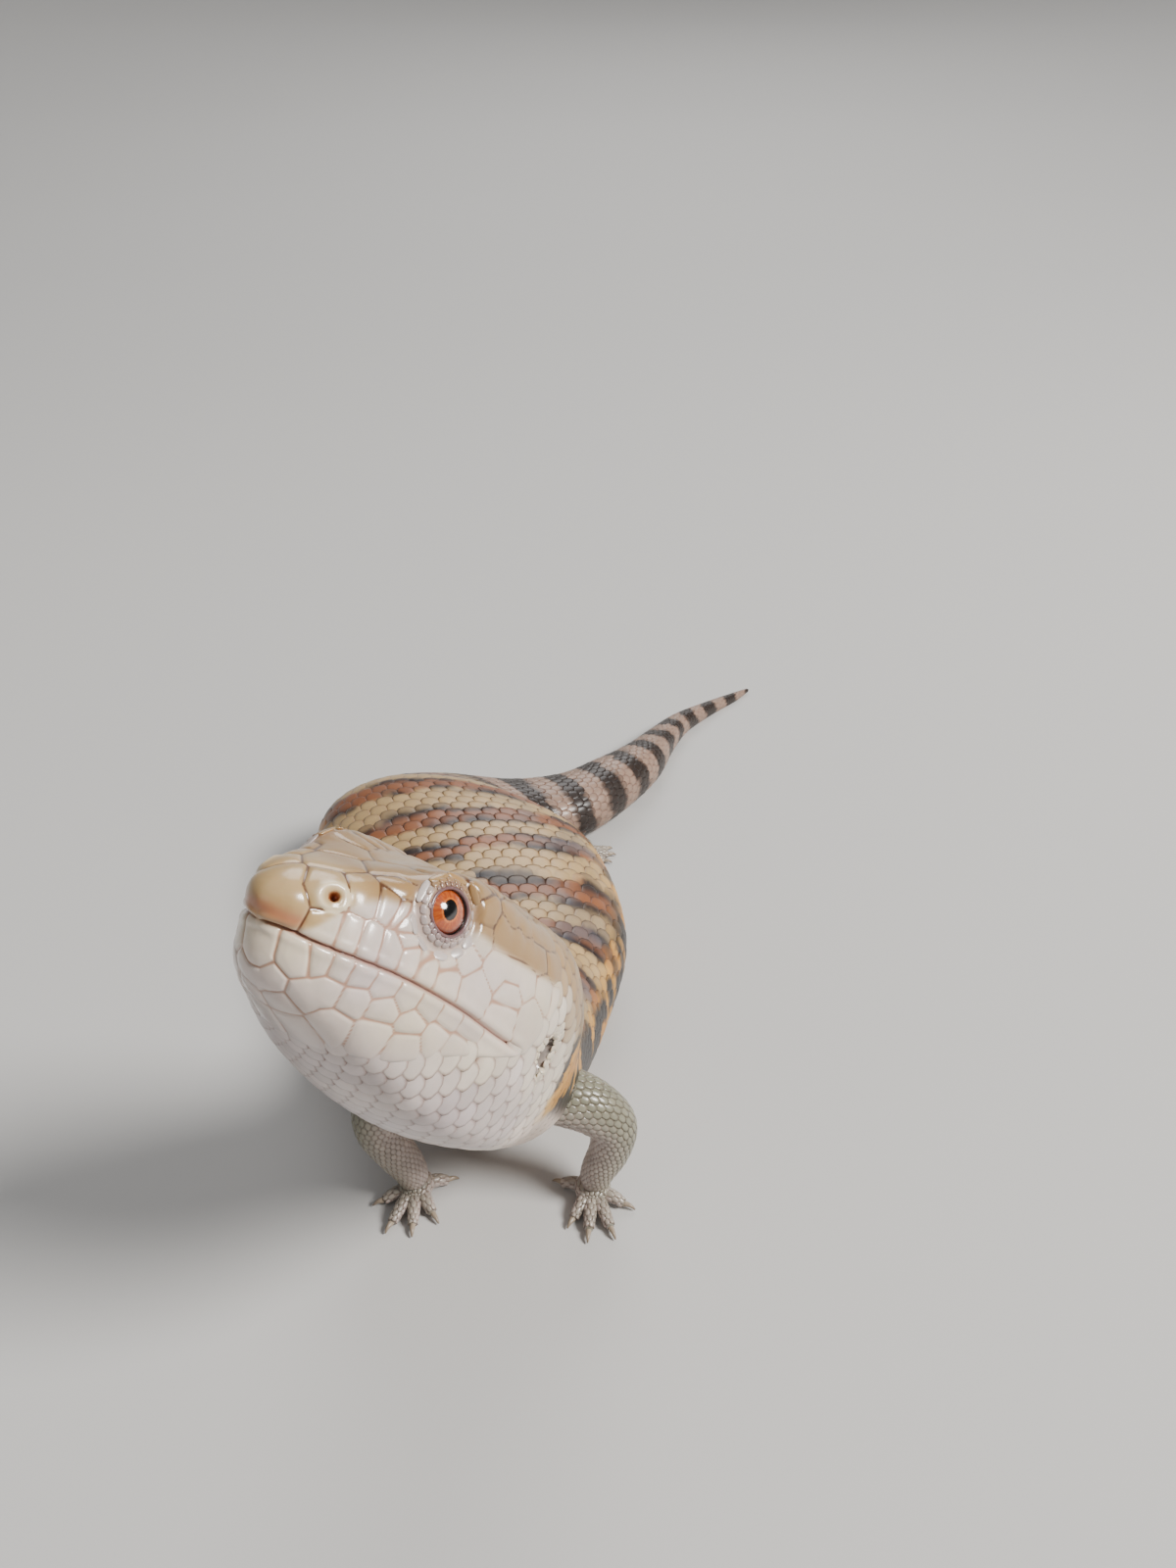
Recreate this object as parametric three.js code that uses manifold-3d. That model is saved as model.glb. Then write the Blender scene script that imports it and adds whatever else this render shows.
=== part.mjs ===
// A life-size still model of a young blue tongued skink that props its chest up on its
// forelegs and lifts its head. Millimetres, +Z up. The animal faces -Y, and the origin is on
// the floor under the middle of the belly.
import * as THREE from "three";
import { mergeVertices } from "three/addons/utils/BufferGeometryUtils.js";
import Module from "manifold-3d";

const wasm = await Module();
wasm.setup();

// Driving dimensions
const HEAD_LENGTH = 33;           // snout tip to the ear
const HEAD_BACK = -4;             // where the head ends, along its own axis
const HEAD_YAW = 34;              // degrees, towards the animal's right
const HEAD_PITCH = 46;            // degrees, nose up
const HEAD_ORIGIN = new THREE.Vector3(2.4, -58.3, 43.8);
const GAP = 0.3;                  // between touching pieces
const FLOOR = 0;
const UP = new THREE.Vector3(0, 0, 1);

const EYE = { at: [19.3, 6.2, 6.9], radius: 2.7, aim: [0.3, 1, 0.3] };
const LID = { at: [19.78, 7.85, 7.38], radius: 2.12, thickness: 0.55, stretch: 1.06 };
const NOSTRIL = {
  at: [29.2, 3.75, 4.75], radius: 0.5, rim: 1.0, rimThickness: 0.3, depth: 1.5, aim: [0.75, 0.62, 0.2],
};
const EAR = { at: [-0.4, 11.9, -1.0], halfWidth: 1.2, halfHeight: 2.0, depth: 2.0 };
const MOUTH = { corner: 6, depth: 0.55, lip: 0.15 };

// A curve through (x, y) points with smooth slopes
function curveThrough(xs, ys) {
  const slopes = xs.map((x, i) => {
    if (i === 0) return (ys[1] - ys[0]) / (xs[1] - xs[0]);
    if (i === xs.length - 1) return (ys[i] - ys[i - 1]) / (xs[i] - xs[i - 1]);
    const before = xs[i] - xs[i - 1];
    const after = xs[i + 1] - xs[i];
    const rising = (ys[i] - ys[i - 1]) / before;
    const leaving = (ys[i + 1] - ys[i]) / after;
    return (rising * after + leaving * before) / (before + after);
  });
  return (x) => {
    const at = Math.min(Math.max(x, xs[0]), xs[xs.length - 1]);
    let i = 0;
    while (i < xs.length - 2 && at > xs[i + 1]) i += 1;
    const span = xs[i + 1] - xs[i];
    return hermite((at - xs[i]) / span, span, ys[i], ys[i + 1], slopes[i], slopes[i + 1]);
  };
}

function hermite(t, span, from, to, slopeFrom, slopeTo) {
  const t2 = t * t;
  const t3 = t2 * t;
  return (2 * t3 - 3 * t2 + 1) * from + (t3 - 2 * t2 + t) * span * slopeFrom
    + (3 * t2 - 2 * t3) * to + (t3 - t2) * span * slopeTo;
}

const smoothstep = (t) => {
  const c = Math.min(Math.max(t, 0), 1);
  return c * c * (3 - 2 * c);
};
const radians = THREE.MathUtils.degToRad;
const steps = (from, to, count) =>
  Array.from({ length: count + 1 }, (_, i) => from + (to - from) * i / count);
const middleOf = (ring) => ring.reduce((sum, p) => sum.add(p), new THREE.Vector3()).divideScalar(ring.length);

// Solids and cuts
function solidOf(geometry) {
  const bare = geometry.clone();
  bare.deleteAttribute("normal");
  bare.deleteAttribute("uv");
  const merged = mergeVertices(bare, 1e-4);
  return new wasm.Manifold(new wasm.Mesh({
    numProp: 3,
    vertProperties: new Float32Array(merged.attributes.position.array),
    triVerts: new Uint32Array(merged.index.array),
  }));
}

function largestOf(solid) {
  const bodies = solid.decompose();
  return bodies.reduce((best, body) => (body.volume() > best.volume() ? body : best));
}

function geometryOf(solid) {
  const mesh = solid.getMesh();
  const positions = new Float32Array(mesh.numVert * 3);
  for (let i = 0; i < mesh.numVert; i += 1) {
    positions.set(mesh.vertProperties.subarray(i * mesh.numProp, i * mesh.numProp + 3), i * 3);
  }
  return new THREE.BufferGeometry()
    .setAttribute("position", new THREE.BufferAttribute(positions, 3))
    .setIndex(new THREE.BufferAttribute(new Uint32Array(mesh.triVerts), 1));
}

// A closed loft through rings of points, the rings running from front to back and the points of
// each going clockwise as seen from its front
function loft(rings) {
  const count = rings[0].length;
  const points = [];
  const faces = [];
  rings.forEach((ring) => ring.forEach((p) => points.push(p.x, p.y, p.z)));
  for (let r = 0; r < rings.length - 1; r += 1) {
    for (let i = 0; i < count; i += 1) {
      const a = r * count + i;
      const b = r * count + (i + 1) % count;
      faces.push(a, b, a + count, b, b + count, a + count);
    }
  }
  [[0, false], [rings.length - 1, true]].forEach(([r, isBack]) => {
    const centre = middleOf(rings[r]);
    const hub = points.length / 3;
    points.push(centre.x, centre.y, centre.z);
    for (let i = 0; i < count; i += 1) {
      const a = r * count + i;
      const b = r * count + (i + 1) % count;
      faces.push(hub, ...(isBack ? [a, b] : [b, a]));
    }
  });
  return new THREE.BufferGeometry()
    .setAttribute("position", new THREE.Float32BufferAttribute(points, 3))
    .setIndex(faces);
}

// The axes of something that faces -Y turned towards -X by turn and raised by rise, in radians
function facing(turn, rise) {
  const level = Math.cos(rise);
  const forward = new THREE.Vector3(-Math.sin(turn) * level, -Math.cos(turn) * level, Math.sin(rise));
  const left = UP.clone().cross(forward).normalize();
  return { forward, left, up: forward.clone().cross(left) };
}

// The head's own frame: x forward, y to the animal's left, z up, zero between the ears
const headAxes = facing(radians(HEAD_YAW), radians(HEAD_PITCH));
const headMatrix = new THREE.Matrix4().makeBasis(headAxes.forward, headAxes.left, headAxes.up)
  .setPosition(HEAD_ORIGIN);
const fromHead = (x, y, z) => new THREE.Vector3(x, y, z).applyMatrix4(headMatrix);

// The head's lines run back from the front of the mouth, as a ship's lines do: the top midline,
// the brow edge, the top of the upper lip scales, the mouth, the foot of the lower lip scales,
// the jaw's underside and the chin midline. Each has an x, y and z at each station
const STATION_X = [33, 32.8, 32.2, 31.04, 29, 26, 23, 19, 15, 10, 5, 0, HEAD_BACK];
const BACKNESS = STATION_X.map((x) => Math.sqrt(HEAD_LENGTH - x));
const LINES = [
  { x: [31.7, 32.3, 32.8, 32.25, 29.9],
    y: STATION_X.map(() => 0),
    z: [1.0, 1.55, 2.7, 4.2, 6.1, 7.6, 8.6, 9.6, 10.4, 11.0, 11.2, 11.2, 11.1] },
  { x: [31.7, 32.2, 32.45, 31.8, 29.3],
    y: [0, 0.55, 1.25, 2.1, 3.3, 4.5, 5.7, 7.5, 8.0, 7.9, 7.7, 7.6, 7.5],
    z: [1.0, 1.5, 2.55, 3.9, 5.7, 7.1, 8.4, 10.4, 10.8, 10.6, 10.2, 9.8, 9.5] },
  { x: [31.7, 31.95, 31.8, 31.1, 29.0],
    y: [0, 0.9, 1.9, 3.0, 4.3, 6.3, 7.8, 9.1, 10.2, 11.3, 11.8, 11.6, 11.1],
    z: [1.0, 1.3, 1.9, 2.7, 3.3, 4.0, 4.3, 4.2, 4.2, 4.4, 4.4, 4.2, 4.0] },
  { x: [31.7, 31.45, 31.0, 30.1, 28.6],
    y: [0, 1.0, 2.0, 3.2, 4.6, 6.7, 8.2, 9.8, 10.9, 11.9, 12.2, 11.9, 11.2],
    z: [1.0, 1.0, 1.0, 1.0, 1.0, 1.1, 1.1, 0.8, 0.3, -0.6, -1.2, -1.8, -2.0] },
  { x: [31.7, 31.25, 30.75, 29.85, 28.5],
    y: [0, 0.9, 1.7, 2.7, 4.0, 6.0, 7.5, 9.2, 10.3, 11.4, 11.8, 11.4, 10.7],
    z: [1.0, 0.45, -0.3, -1.1, -1.8, -2.1, -2.5, -3.3, -4.1, -5.1, -5.9, -6.5, -6.8] },
  { x: [31.7, 31.2, 30.8, 30.05, 28.6],
    y: [0, 0.5, 0.95, 1.5, 2.4, 4.0, 5.3, 6.9, 8.1, 9.0, 9.3, 9.0, 8.4],
    z: [1.0, 0.2, -0.8, -2.0, -3.3, -4.5, -5.6, -7.2, -8.7, -10.1, -11.0, -11.4, -11.4] },
  { x: [31.7, 31.2, 30.85, 30.2, 28.8],
    y: STATION_X.map(() => 0),
    z: [1.0, 0.1, -1.0, -2.3, -3.8, -5.4, -6.8, -8.8, -10.6, -12.2, -13.2, -13.6, -13.6] },
];
const lineCurves = LINES.map((line) => ({
  x: curveThrough(BACKNESS, [...line.x, ...STATION_X.slice(line.x.length)]),
  y: curveThrough(BACKNESS, line.y),
  z: curveThrough(BACKNESS, line.z),
}));
const LAST_LINE = LINES.length - 1;
const MOUTH_LINE = 3;

// A point of the head's skin: how far back along the head, and how far round from the top
// midline (0) to the chin midline (6), in the head's own frame
function headPoint(backness, round) {
  const line = (i) => {
    const wrapped = i < 0 ? -i : i > LAST_LINE ? 2 * LAST_LINE - i : i;
    const side = i < 0 || i > LAST_LINE ? -1 : 1;
    const { x, y, z } = lineCurves[wrapped];
    return [x(backness), side * y(backness), z(backness)];
  };
  const i = Math.min(Math.floor(round), LAST_LINE - 1);
  const around = [line(i - 1), line(i), line(i + 1), line(i + 2)];
  return new THREE.Vector3(...[0, 1, 2].map((k) => hermite(round - i, 1, around[1][k], around[2][k],
    (around[2][k] - around[0][k]) / 2, (around[3][k] - around[1][k]) / 2)));
}

function headNormal(backness, round) {
  const step = 0.02;
  const at = headPoint(backness, round);
  const across = headPoint(backness, Math.min(round + step, LAST_LINE))
    .sub(headPoint(backness, Math.max(round - step, 0)));
  const along = headPoint(backness + step, round).sub(at);
  return across.cross(along).normalize();
}

// The mouth is a groove with a lip on each side
function mouthDent(backness, round) {
  const open = smoothstep((headPoint(backness, MOUTH_LINE).x - MOUTH.corner) / 3);
  const away = Math.abs(round - MOUTH_LINE);
  return open * (away < 0.01 ? -MOUTH.depth : away < 0.2 ? MOUTH.lip : 0);
}

// Places round the head's left half, close together at the mouth
const HEAD_ROUNDS = [
  0, 0.35, 0.7, 1, 1.25, 1.5, 1.75, 2, 2.35, 2.7, 2.88, 3,
  3.12, 3.34, 3.7, 4, 4.35, 4.7, 5, 5.35, 5.7, 6,
];
const HEAD_RINGS = 30;

function headRing(backness) {
  const half = HEAD_ROUNDS.map((round) => headPoint(backness, round)
    .addScaledVector(headNormal(backness, round), mouthDent(backness, round)));
  const other = half.slice(1, -1).reverse().map((p) => new THREE.Vector3(p.x, -p.y, p.z));
  return [...half, ...other].map((p) => fromHead(p.x, p.y, p.z));
}

// The line along the middle of neck, trunk and tail. Each station is x, y, z, half the width,
// the height above and the depth below the widest level, and the way the section faces: its
// turn from -Y towards -X and its pitch, in degrees
const STATIONS = [
  [3.5, -56.6, 40.1, 11.4, 12.3, 12.4, HEAD_YAW, HEAD_PITCH],
  [4.6, -50.4, 31.6, 10.6, 10.4, 11.2, 22, 54],
  [3.4, -42.2, 21.2, 11.6, 9.6, 10.4, 7, 43],
  [2.4, -32.0, 14.8, 14.2, 10.4, 11.2, 2, 27],
  [1.6, -21.5, 10.8, 17.4, 11.2, 11.2, -2, 14],
  [0.2, -8.0, 9.2, 22.0, 12.0, 9.8, -8, 4],
  [-3.0, 7.0, 9.0, 23.2, 12.3, 9.5, -13, 0],
  [-7.7, 20.0, 8.9, 22.8, 12.0, 9.4, -6, 1],
  [-11.5, 30.4, 8.1, 19.2, 11.2, 8.5, 5, 2],
  [-6.4, 38.0, 7.1, 13.0, 7.6, 7.5, 30, 2],
  [5.0, 40.4, 6.3, 9.0, 5.4, 6.6, 50, 2],
  [13.3, 44.7, 5.7, 7.2, 5.1, 6.0, 50, 3],
  [20.4, 52.6, 5.2, 6.0, 5.0, 5.4, 38, 4],
  [26.6, 62.5, 4.3, 4.9, 4.2, 4.6, 28, 4],
  [31.2, 73.5, 3.3, 3.5, 3.1, 3.6, 25, 4],
  [36.5, 84.5, 2.4, 2.4, 2.1, 2.7, 31, 3],
  [44.0, 94.0, 1.6, 1.5, 1.3, 1.9, 40, 3],
  [51.0, 101.5, 1.0, 0.85, 0.7, 1.2, 44, 2],
  [54.2, 105.0, 0.8, 0.35, 0.3, 0.4, 44, 0],
];
const BODY_SQUARENESS = 2.25;
const NECK_BLEND = 14;            // behind the head, its outline turns into the body's over this
const HEAD_AROUND = [0, 36, 66, 95, 118, 141, 180];   // degrees round at each of the head's lines

const bodyLengths = STATIONS.reduce((lengths, station, i) => {
  if (i === 0) return [0];
  const last = STATIONS[i - 1];
  return [...lengths, lengths[i - 1] + Math.hypot(...[0, 1, 2].map((k) => station[k] - last[k]))];
}, []);
const BODY_LENGTH = bodyLengths[bodyLengths.length - 1];
const bodyCurves = STATIONS[0].map((_, k) =>
  curveThrough(bodyLengths, STATIONS.map((station) => station[k])));
const roundAtAngle = curveThrough(HEAD_AROUND, HEAD_AROUND.map((_, i) => i));
const headBackness = Math.sqrt(HEAD_LENGTH - HEAD_BACK);
const headInverse = headMatrix.clone().invert();

const bodyAt = (s) => new THREE.Vector3(...[0, 1, 2].map((k) => bodyCurves[k](s)));
const neckHeight = bodyAt(0).applyMatrix4(headInverse).z;   // of the neck's middle, in the head's frame

// A point of the body's skin, s millimetres behind the head and an angle round from the back's
// midline towards the left, grown outward by some millimetres
function bodyPoint(s, angle, grow = 0) {
  const [width, above, below] = [3, 4, 5].map((k) => bodyCurves[k](s) + grow);
  const turned = ((angle % 360) + 360) % 360;
  const side = turned > 180 ? -1 : 1;
  const folded = radians(turned > 180 ? 360 - turned : turned);
  const power = 2 / BODY_SQUARENESS;
  const height = Math.cos(folded);
  let y = width * Math.abs(Math.sin(folded)) ** power;
  let z = Math.sign(height) * Math.abs(height) ** power * (height > 0 ? above : below);
  const headShare = 1 - smoothstep(s / NECK_BLEND);
  if (headShare > 0) {
    const p = headPoint(headBackness, roundAtAngle(THREE.MathUtils.radToDeg(folded)));
    y += headShare * (p.y + grow * Math.sin(folded) - y);
    z += headShare * (p.z - neckHeight + grow * height - z);
  }
  const { left, up } = facing(radians(bodyCurves[6](s)), radians(bodyCurves[7](s)));
  const point = bodyAt(s).addScaledVector(left, side * y).addScaledVector(up, z);
  point.z = Math.max(point.z, FLOOR);
  return point;
}

function bodyLoft(from, to, spacing, around, grow = 0) {
  const count = Math.max(2, Math.round((to - from) / spacing));
  return loft(steps(from, to, count).map((s) =>
    steps(0, 360, around).slice(0, -1).map((angle) => bodyPoint(s, angle, grow))));
}

// Limbs: rings of points round a way through joints, each joint with its radius. Neighbouring
// rings keep the same twist
function limbRings(joints, around, spacing) {
  const lengths = joints.reduce((all, joint, i) => (i === 0 ? [0]
    : [...all, all[i - 1] + joint.at.distanceTo(joints[i - 1].at)]), []);
  const place = ["x", "y", "z"].map((k) => curveThrough(lengths, joints.map((joint) => joint.at[k])));
  const radius = curveThrough(lengths, joints.map((joint) => joint.radius));
  const at = (s) => new THREE.Vector3(...place.map((curve) => curve(s)));
  const length = lengths[lengths.length - 1];
  const step = Math.min(0.2, length / 50);
  let across = null;
  return steps(0, length, Math.max(2, Math.round(length / spacing))).map((s) => {
    const forward = at(s - step).sub(at(s + step)).normalize();
    if (!across) across = UP.clone().cross(forward);
    across = across.addScaledVector(forward, -across.dot(forward)).normalize();
    const up = forward.clone().cross(across);
    return steps(0, 360, around).slice(0, -1).map((angle) => {
      const turn = radians(angle);
      return at(s)
        .addScaledVector(across, Math.sin(turn) * radius(s))
        .addScaledVector(up, Math.cos(turn) * radius(s));
    });
  });
}

const joint = (x, y, z, radius) => ({ at: new THREE.Vector3(x, y, z), radius });

// Each limb: its joints from inside the body to the wrist or ankle, the share of the way where
// the lower part starts, and its foot's palm and toes. A toe is its direction in degrees from
// straight ahead (-Y) towards +X, and its length past the knuckle
const LIMBS = {
  foreleg_left: {
    joints: [joint(7.5, -43.2, 18.4, 4.1), joint(12.6, -43.9, 16.8, 3.8), joint(16.4, -44.3, 15.2, 3.5),
      joint(19.1, -44.6, 12.4, 3.05), joint(18.8, -44.9, 8.8, 2.7), joint(17.2, -45.2, 4.8, 2.2)],
    elbow: 0.60,
    palm: { at: [16.6, -45.0, 1.7], half: [2.3, 2.5, 1.6], turn: -4 },
    toes: [[-113, 2.1], [-31, 2.6], [-5, 3.9], [22, 3.9], [66, 2.3]],
    foot: "forefoot_left",
  },
  foreleg_right: {
    joints: [joint(-1.5, -43.2, 19.4, 4.1), joint(-6.4, -44.0, 18.0, 3.7), joint(-9.8, -44.8, 15.4, 3.2),
      joint(-10.0, -45.0, 12.4, 2.95), joint(-8.6, -45.0, 9.0, 2.7), joint(-6.6, -44.9, 4.8, 2.2)],
    elbow: 0.56,
    palm: { at: [-6.1, -44.6, 1.7], half: [2.3, 2.5, 1.6], turn: 2 },
    toes: [[113, 2.1], [34, 2.4], [2, 3.4], [-26, 3.6], [-68, 2.2]],
    foot: "forefoot_right",
  },
  hindleg_left: {
    joints: [joint(0.5, 27.2, 8.0, 5.0), joint(6.0, 26.8, 7.4, 4.5), joint(10.8, 27.0, 6.3, 3.8),
      joint(13.9, 28.4, 5.0, 3.1), joint(14.6, 30.4, 3.8, 2.6), joint(14.4, 32.0, 2.9, 2.2)],
    elbow: 0.7,
    palm: { at: [14.3, 32.3, 1.7], half: [2.2, 2.5, 1.6], turn: 130 },
    toes: [[52, 2.0], [84, 2.6], [106, 3.6], [124, 4.0], [144, 2.2]],
    foot: "hindfoot_left",
  },
  hindleg_right: {
    joints: [joint(-14.0, 32.0, 8.0, 5.2), joint(-18.2, 38.2, 7.2, 4.6), joint(-20.8, 43.4, 6.0, 3.9),
      joint(-19.0, 47.6, 4.9, 3.2), joint(-15.8, 50.4, 3.7, 2.7), joint(-13.4, 52.0, 2.8, 2.2)],
    elbow: 0.6,
    palm: { at: [-12.0, 53.0, 1.7], half: [2.3, 2.8, 1.6], turn: 120 },
    toes: [[-160, 2.2], [166, 3.2], [146, 4.6], [126, 5.0], [98, 3.0]],
    foot: "hindfoot_right",
  },
};
const TOE = { root: 0.9, tip: 0.62, spread: 0.8 };
const CLAW = { length: 1.3, root: 0.36, tip: 0.11, sides: 6 };

const floorCut = (() => {
  const block = new THREE.BoxGeometry(400, 400, 60);
  block.translate(0, 0, FLOOR - 30);
  return solidOf(block);
})();

function toeJoints(palm, [heading, length]) {
  const aim = radians(heading);
  const forward = new THREE.Vector3(Math.sin(aim), -Math.cos(aim), 0);
  const reach = (distance, z, radius) => {
    const p = new THREE.Vector3(...palm.at).addScaledVector(forward, distance);
    return joint(p.x, p.y, z, radius);
  };
  const knuckle = palm.half[1] * TOE.spread;
  const joints = [
    reach(0.4, 1.5, TOE.root),
    reach(knuckle, 1.4, TOE.root),
    reach(knuckle + length * 0.55, 1.2, (TOE.root + TOE.tip) / 2),
    reach(knuckle + length, TOE.tip + 0.05, TOE.tip),
  ];
  return { forward, joints };
}

// A foot is its palm with five toes joined to it and a flat sole
function footSolid(limb) {
  const { palm } = limb;
  const pad = new THREE.SphereGeometry(1, 12, 8);
  pad.scale(...palm.half);
  pad.rotateZ(radians(palm.turn));
  pad.translate(...palm.at);
  const wrist = limb.joints[limb.joints.length - 1];
  const above = limb.joints[limb.joints.length - 2];
  const stalk = [above, wrist, joint(palm.at[0], palm.at[1], palm.at[2] + 0.3, wrist.radius * 0.8)];
  const toes = limb.toes.map((toe) => solidOf(loft(limbRings(toeJoints(palm, toe).joints, 7, 1.8))));
  const pieces = [solidOf(pad), solidOf(loft(limbRings(stalk, 16, 1.5))), ...toes];
  return pieces.reduce((whole, piece) => whole.add(piece)).subtract(floorCut);
}

function clawSolid(palm, toe) {
  const { forward, joints } = toeJoints(palm, toe);
  const tip = joints[joints.length - 1].at;
  const point = (share, z, radius) => {
    const p = tip.clone().addScaledVector(forward, GAP + CLAW.length * share);
    return joint(p.x, p.y, z, radius);
  };
  const curl = [point(0, 0.75, CLAW.root), point(0.5, 0.72, CLAW.root * 0.75), point(1, 0.32, CLAW.tip)];
  return solidOf(loft(limbRings(curl, CLAW.sides, 0.65)));
}

// A slab that fills one side of a plane, for parting a limb into its lengths
function slabPast(point, normal) {
  const block = new THREE.BoxGeometry(80, 80, 80);
  block.translate(0, 0, 40);
  block.applyQuaternion(new THREE.Quaternion().setFromUnitVectors(UP, normal));
  block.translate(point.x, point.y, point.z);
  return solidOf(block);
}

// Materials
const finish = (color, roughness) => new THREE.MeshStandardMaterial({ color, roughness, metalness: 0 });
const MATERIALS = {
  head: finish(0xd8c4a2, 0.35),
  body: finish(0xb08a62, 0.4),
  tail: finish(0x6b5446, 0.45),
  limb: finish(0x9b957f, 0.4),
  eye: finish(0xb5520f, 0.1),
  claw: finish(0x4d463c, 0.4),
};

const skink = new THREE.Group();

function addNode(name, solid, material) {
  const mesh = new THREE.Mesh(geometryOf(largestOf(solid)), MATERIALS[material].clone());
  mesh.name = name;
  skink.add(mesh);
}

// Head with its eye sockets, lids, nostrils and ears. Each is built about its own z axis, aimed
// along a direction of the head's frame and set in place, once for each side
const sides = [1, -1];

function onHead(geometry, at, aim, side) {
  const way = new THREE.Vector3(aim[0], side * aim[1], aim[2]).normalize();
  const across = UP.clone().cross(way).normalize();
  const basis = new THREE.Matrix4().makeBasis(across, way.clone().cross(across), way);
  geometry.applyMatrix4(basis);
  geometry.translate(at[0], side * at[1], at[2]);
  geometry.applyMatrix4(headMatrix);
  return solidOf(geometry);
}

const eyeBall = (side, radius) => onHead(new THREE.SphereGeometry(radius, 16, 11), EYE.at, EYE.aim, side);

function ringOf(radius, thickness, stretch, around, tube) {
  const ring = new THREE.TorusGeometry(radius, thickness, tube, around);
  ring.scale(stretch, 1 / stretch, 1);
  return ring;
}

function ovalOf(width, height, depth) {
  const oval = new THREE.SphereGeometry(1, 12, 8);
  oval.scale(width, height, depth);
  return oval;
}

function lidRing(side) {
  return onHead(ringOf(LID.radius, LID.thickness, LID.stretch, 22, 8), LID.at, EYE.aim, side);
}

function nostrilRim(side) {
  return onHead(ringOf(NOSTRIL.rim, NOSTRIL.rimThickness, 1, 14, 6), NOSTRIL.at, NOSTRIL.aim, side);
}

function nostrilPit(side) {
  return onHead(ovalOf(NOSTRIL.radius, NOSTRIL.radius, NOSTRIL.depth), NOSTRIL.at, NOSTRIL.aim, side);
}

const earCup = (side) => onHead(ovalOf(EAR.halfWidth, EAR.halfHeight, EAR.depth), EAR.at, [0, 1, 0], side);
const eyeSocket = (side) => eyeBall(side, EYE.radius + GAP);

const headRings = steps(0.3, headBackness, HEAD_RINGS).map(headRing);
let head = solidOf(loft(headRings));
sides.forEach((side) => {
  head = head.add(lidRing(side)).add(nostrilRim(side));
});
sides.forEach((side) => {
  head = head.subtract(eyeSocket(side)).subtract(nostrilPit(side)).subtract(earCup(side));
});
addNode("head", head, "head");
addNode("eye_left", eyeBall(1, EYE.radius), "eye");
addNode("eye_right", eyeBall(-1, EYE.radius), "eye");

// Neck, trunk and tail, each length ending where the next begins: its name, start, end, distance
// between rings, points round and material
const LENGTHS = [
  ["neck", 0, 22, 2.6, 38, "body"],
  ["torso_front", 22, 65, 3.7, 38, "body"],
  ["torso_rear", 65, 111, 3.7, 38, "body"],
  ["tail_base", 111, 142, 3.0, 26, "tail"],
  ["tail_middle", 142, 173, 3.0, 20, "tail"],
  ["tail_tip", 173, BODY_LENGTH, 2.4, 14, "tail"],
];
LENGTHS.forEach(([name, from, to, spacing, around, material]) => {
  addNode(name, solidOf(bodyLoft(from + GAP, to, spacing, around)), material);
});

// Limbs, cut clear of the body and parted at the elbow or knee and the wrist or ankle
const bodyHull = solidOf(bodyLoft(1, 140, 3.7, 38, GAP));
Object.entries(LIMBS).forEach(([name, limb]) => {
  const rings = limbRings(limb.joints, 16, 1.5);
  const whole = solidOf(loft(rings)).subtract(bodyHull);
  const middle = (i) => middleOf(rings[i]);
  const bend = Math.round(limb.elbow * (rings.length - 1));
  const end = rings.length - 2;
  const elbow = middle(bend);
  const down = middle(bend + 1).sub(middle(bend - 1)).normalize();
  const wrist = middle(end);
  const out = middle(end + 1).sub(middle(end - 1)).normalize();
  const pastElbow = slabPast(elbow, down);
  const beforeElbow = slabPast(elbow.clone().addScaledVector(down, GAP), down.clone().negate());
  const pastWrist = slabPast(wrist, out);
  const foot = footSolid(limb);
  const beforeWrist = slabPast(wrist.clone().addScaledVector(out, GAP), out.clone().negate());
  addNode(name + "_upper", whole.subtract(pastElbow), "limb");
  addNode(name + "_lower", whole.subtract(beforeElbow).subtract(pastWrist), "limb");
  addNode(limb.foot, foot.subtract(beforeWrist), "limb");
  limb.toes.forEach((toe, i) => {
    addNode("claw_" + limb.foot + "_" + (i + 1), clawSolid(limb.palm, toe), "claw");
  });
});

export default skink;
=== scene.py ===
"""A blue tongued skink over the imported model: one skin, its shields and scales, eyes, lids and claws.

Shapes are worked out in millimetres in the model's own frame and turned into metres when a mesh is made.
"""

import math
from functools import partial

import bpy
import numpy as np
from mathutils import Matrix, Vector
from mathutils.bvhtree import BVHTree


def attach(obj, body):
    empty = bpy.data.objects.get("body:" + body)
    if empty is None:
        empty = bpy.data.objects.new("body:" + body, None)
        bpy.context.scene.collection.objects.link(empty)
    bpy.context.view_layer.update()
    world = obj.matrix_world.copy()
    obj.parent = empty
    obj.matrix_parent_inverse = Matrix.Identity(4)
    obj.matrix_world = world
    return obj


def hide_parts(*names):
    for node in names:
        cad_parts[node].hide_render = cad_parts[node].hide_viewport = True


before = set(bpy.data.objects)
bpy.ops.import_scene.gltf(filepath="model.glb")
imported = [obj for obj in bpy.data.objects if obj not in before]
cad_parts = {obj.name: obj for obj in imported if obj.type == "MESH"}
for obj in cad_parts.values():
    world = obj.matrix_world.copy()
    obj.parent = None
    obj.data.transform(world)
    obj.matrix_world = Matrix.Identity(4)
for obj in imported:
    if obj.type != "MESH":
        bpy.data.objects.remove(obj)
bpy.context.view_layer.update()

MM = 0.001
UP = np.array([0.0, 0.0, 1.0])
SKIN_DEPTH = 0.28            # how far the skin lies below the tops of its scales
FLOOR_CLEARANCE = 0.02
NO_SEAM = 9.0                # so far from a seam that none is drawn

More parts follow.
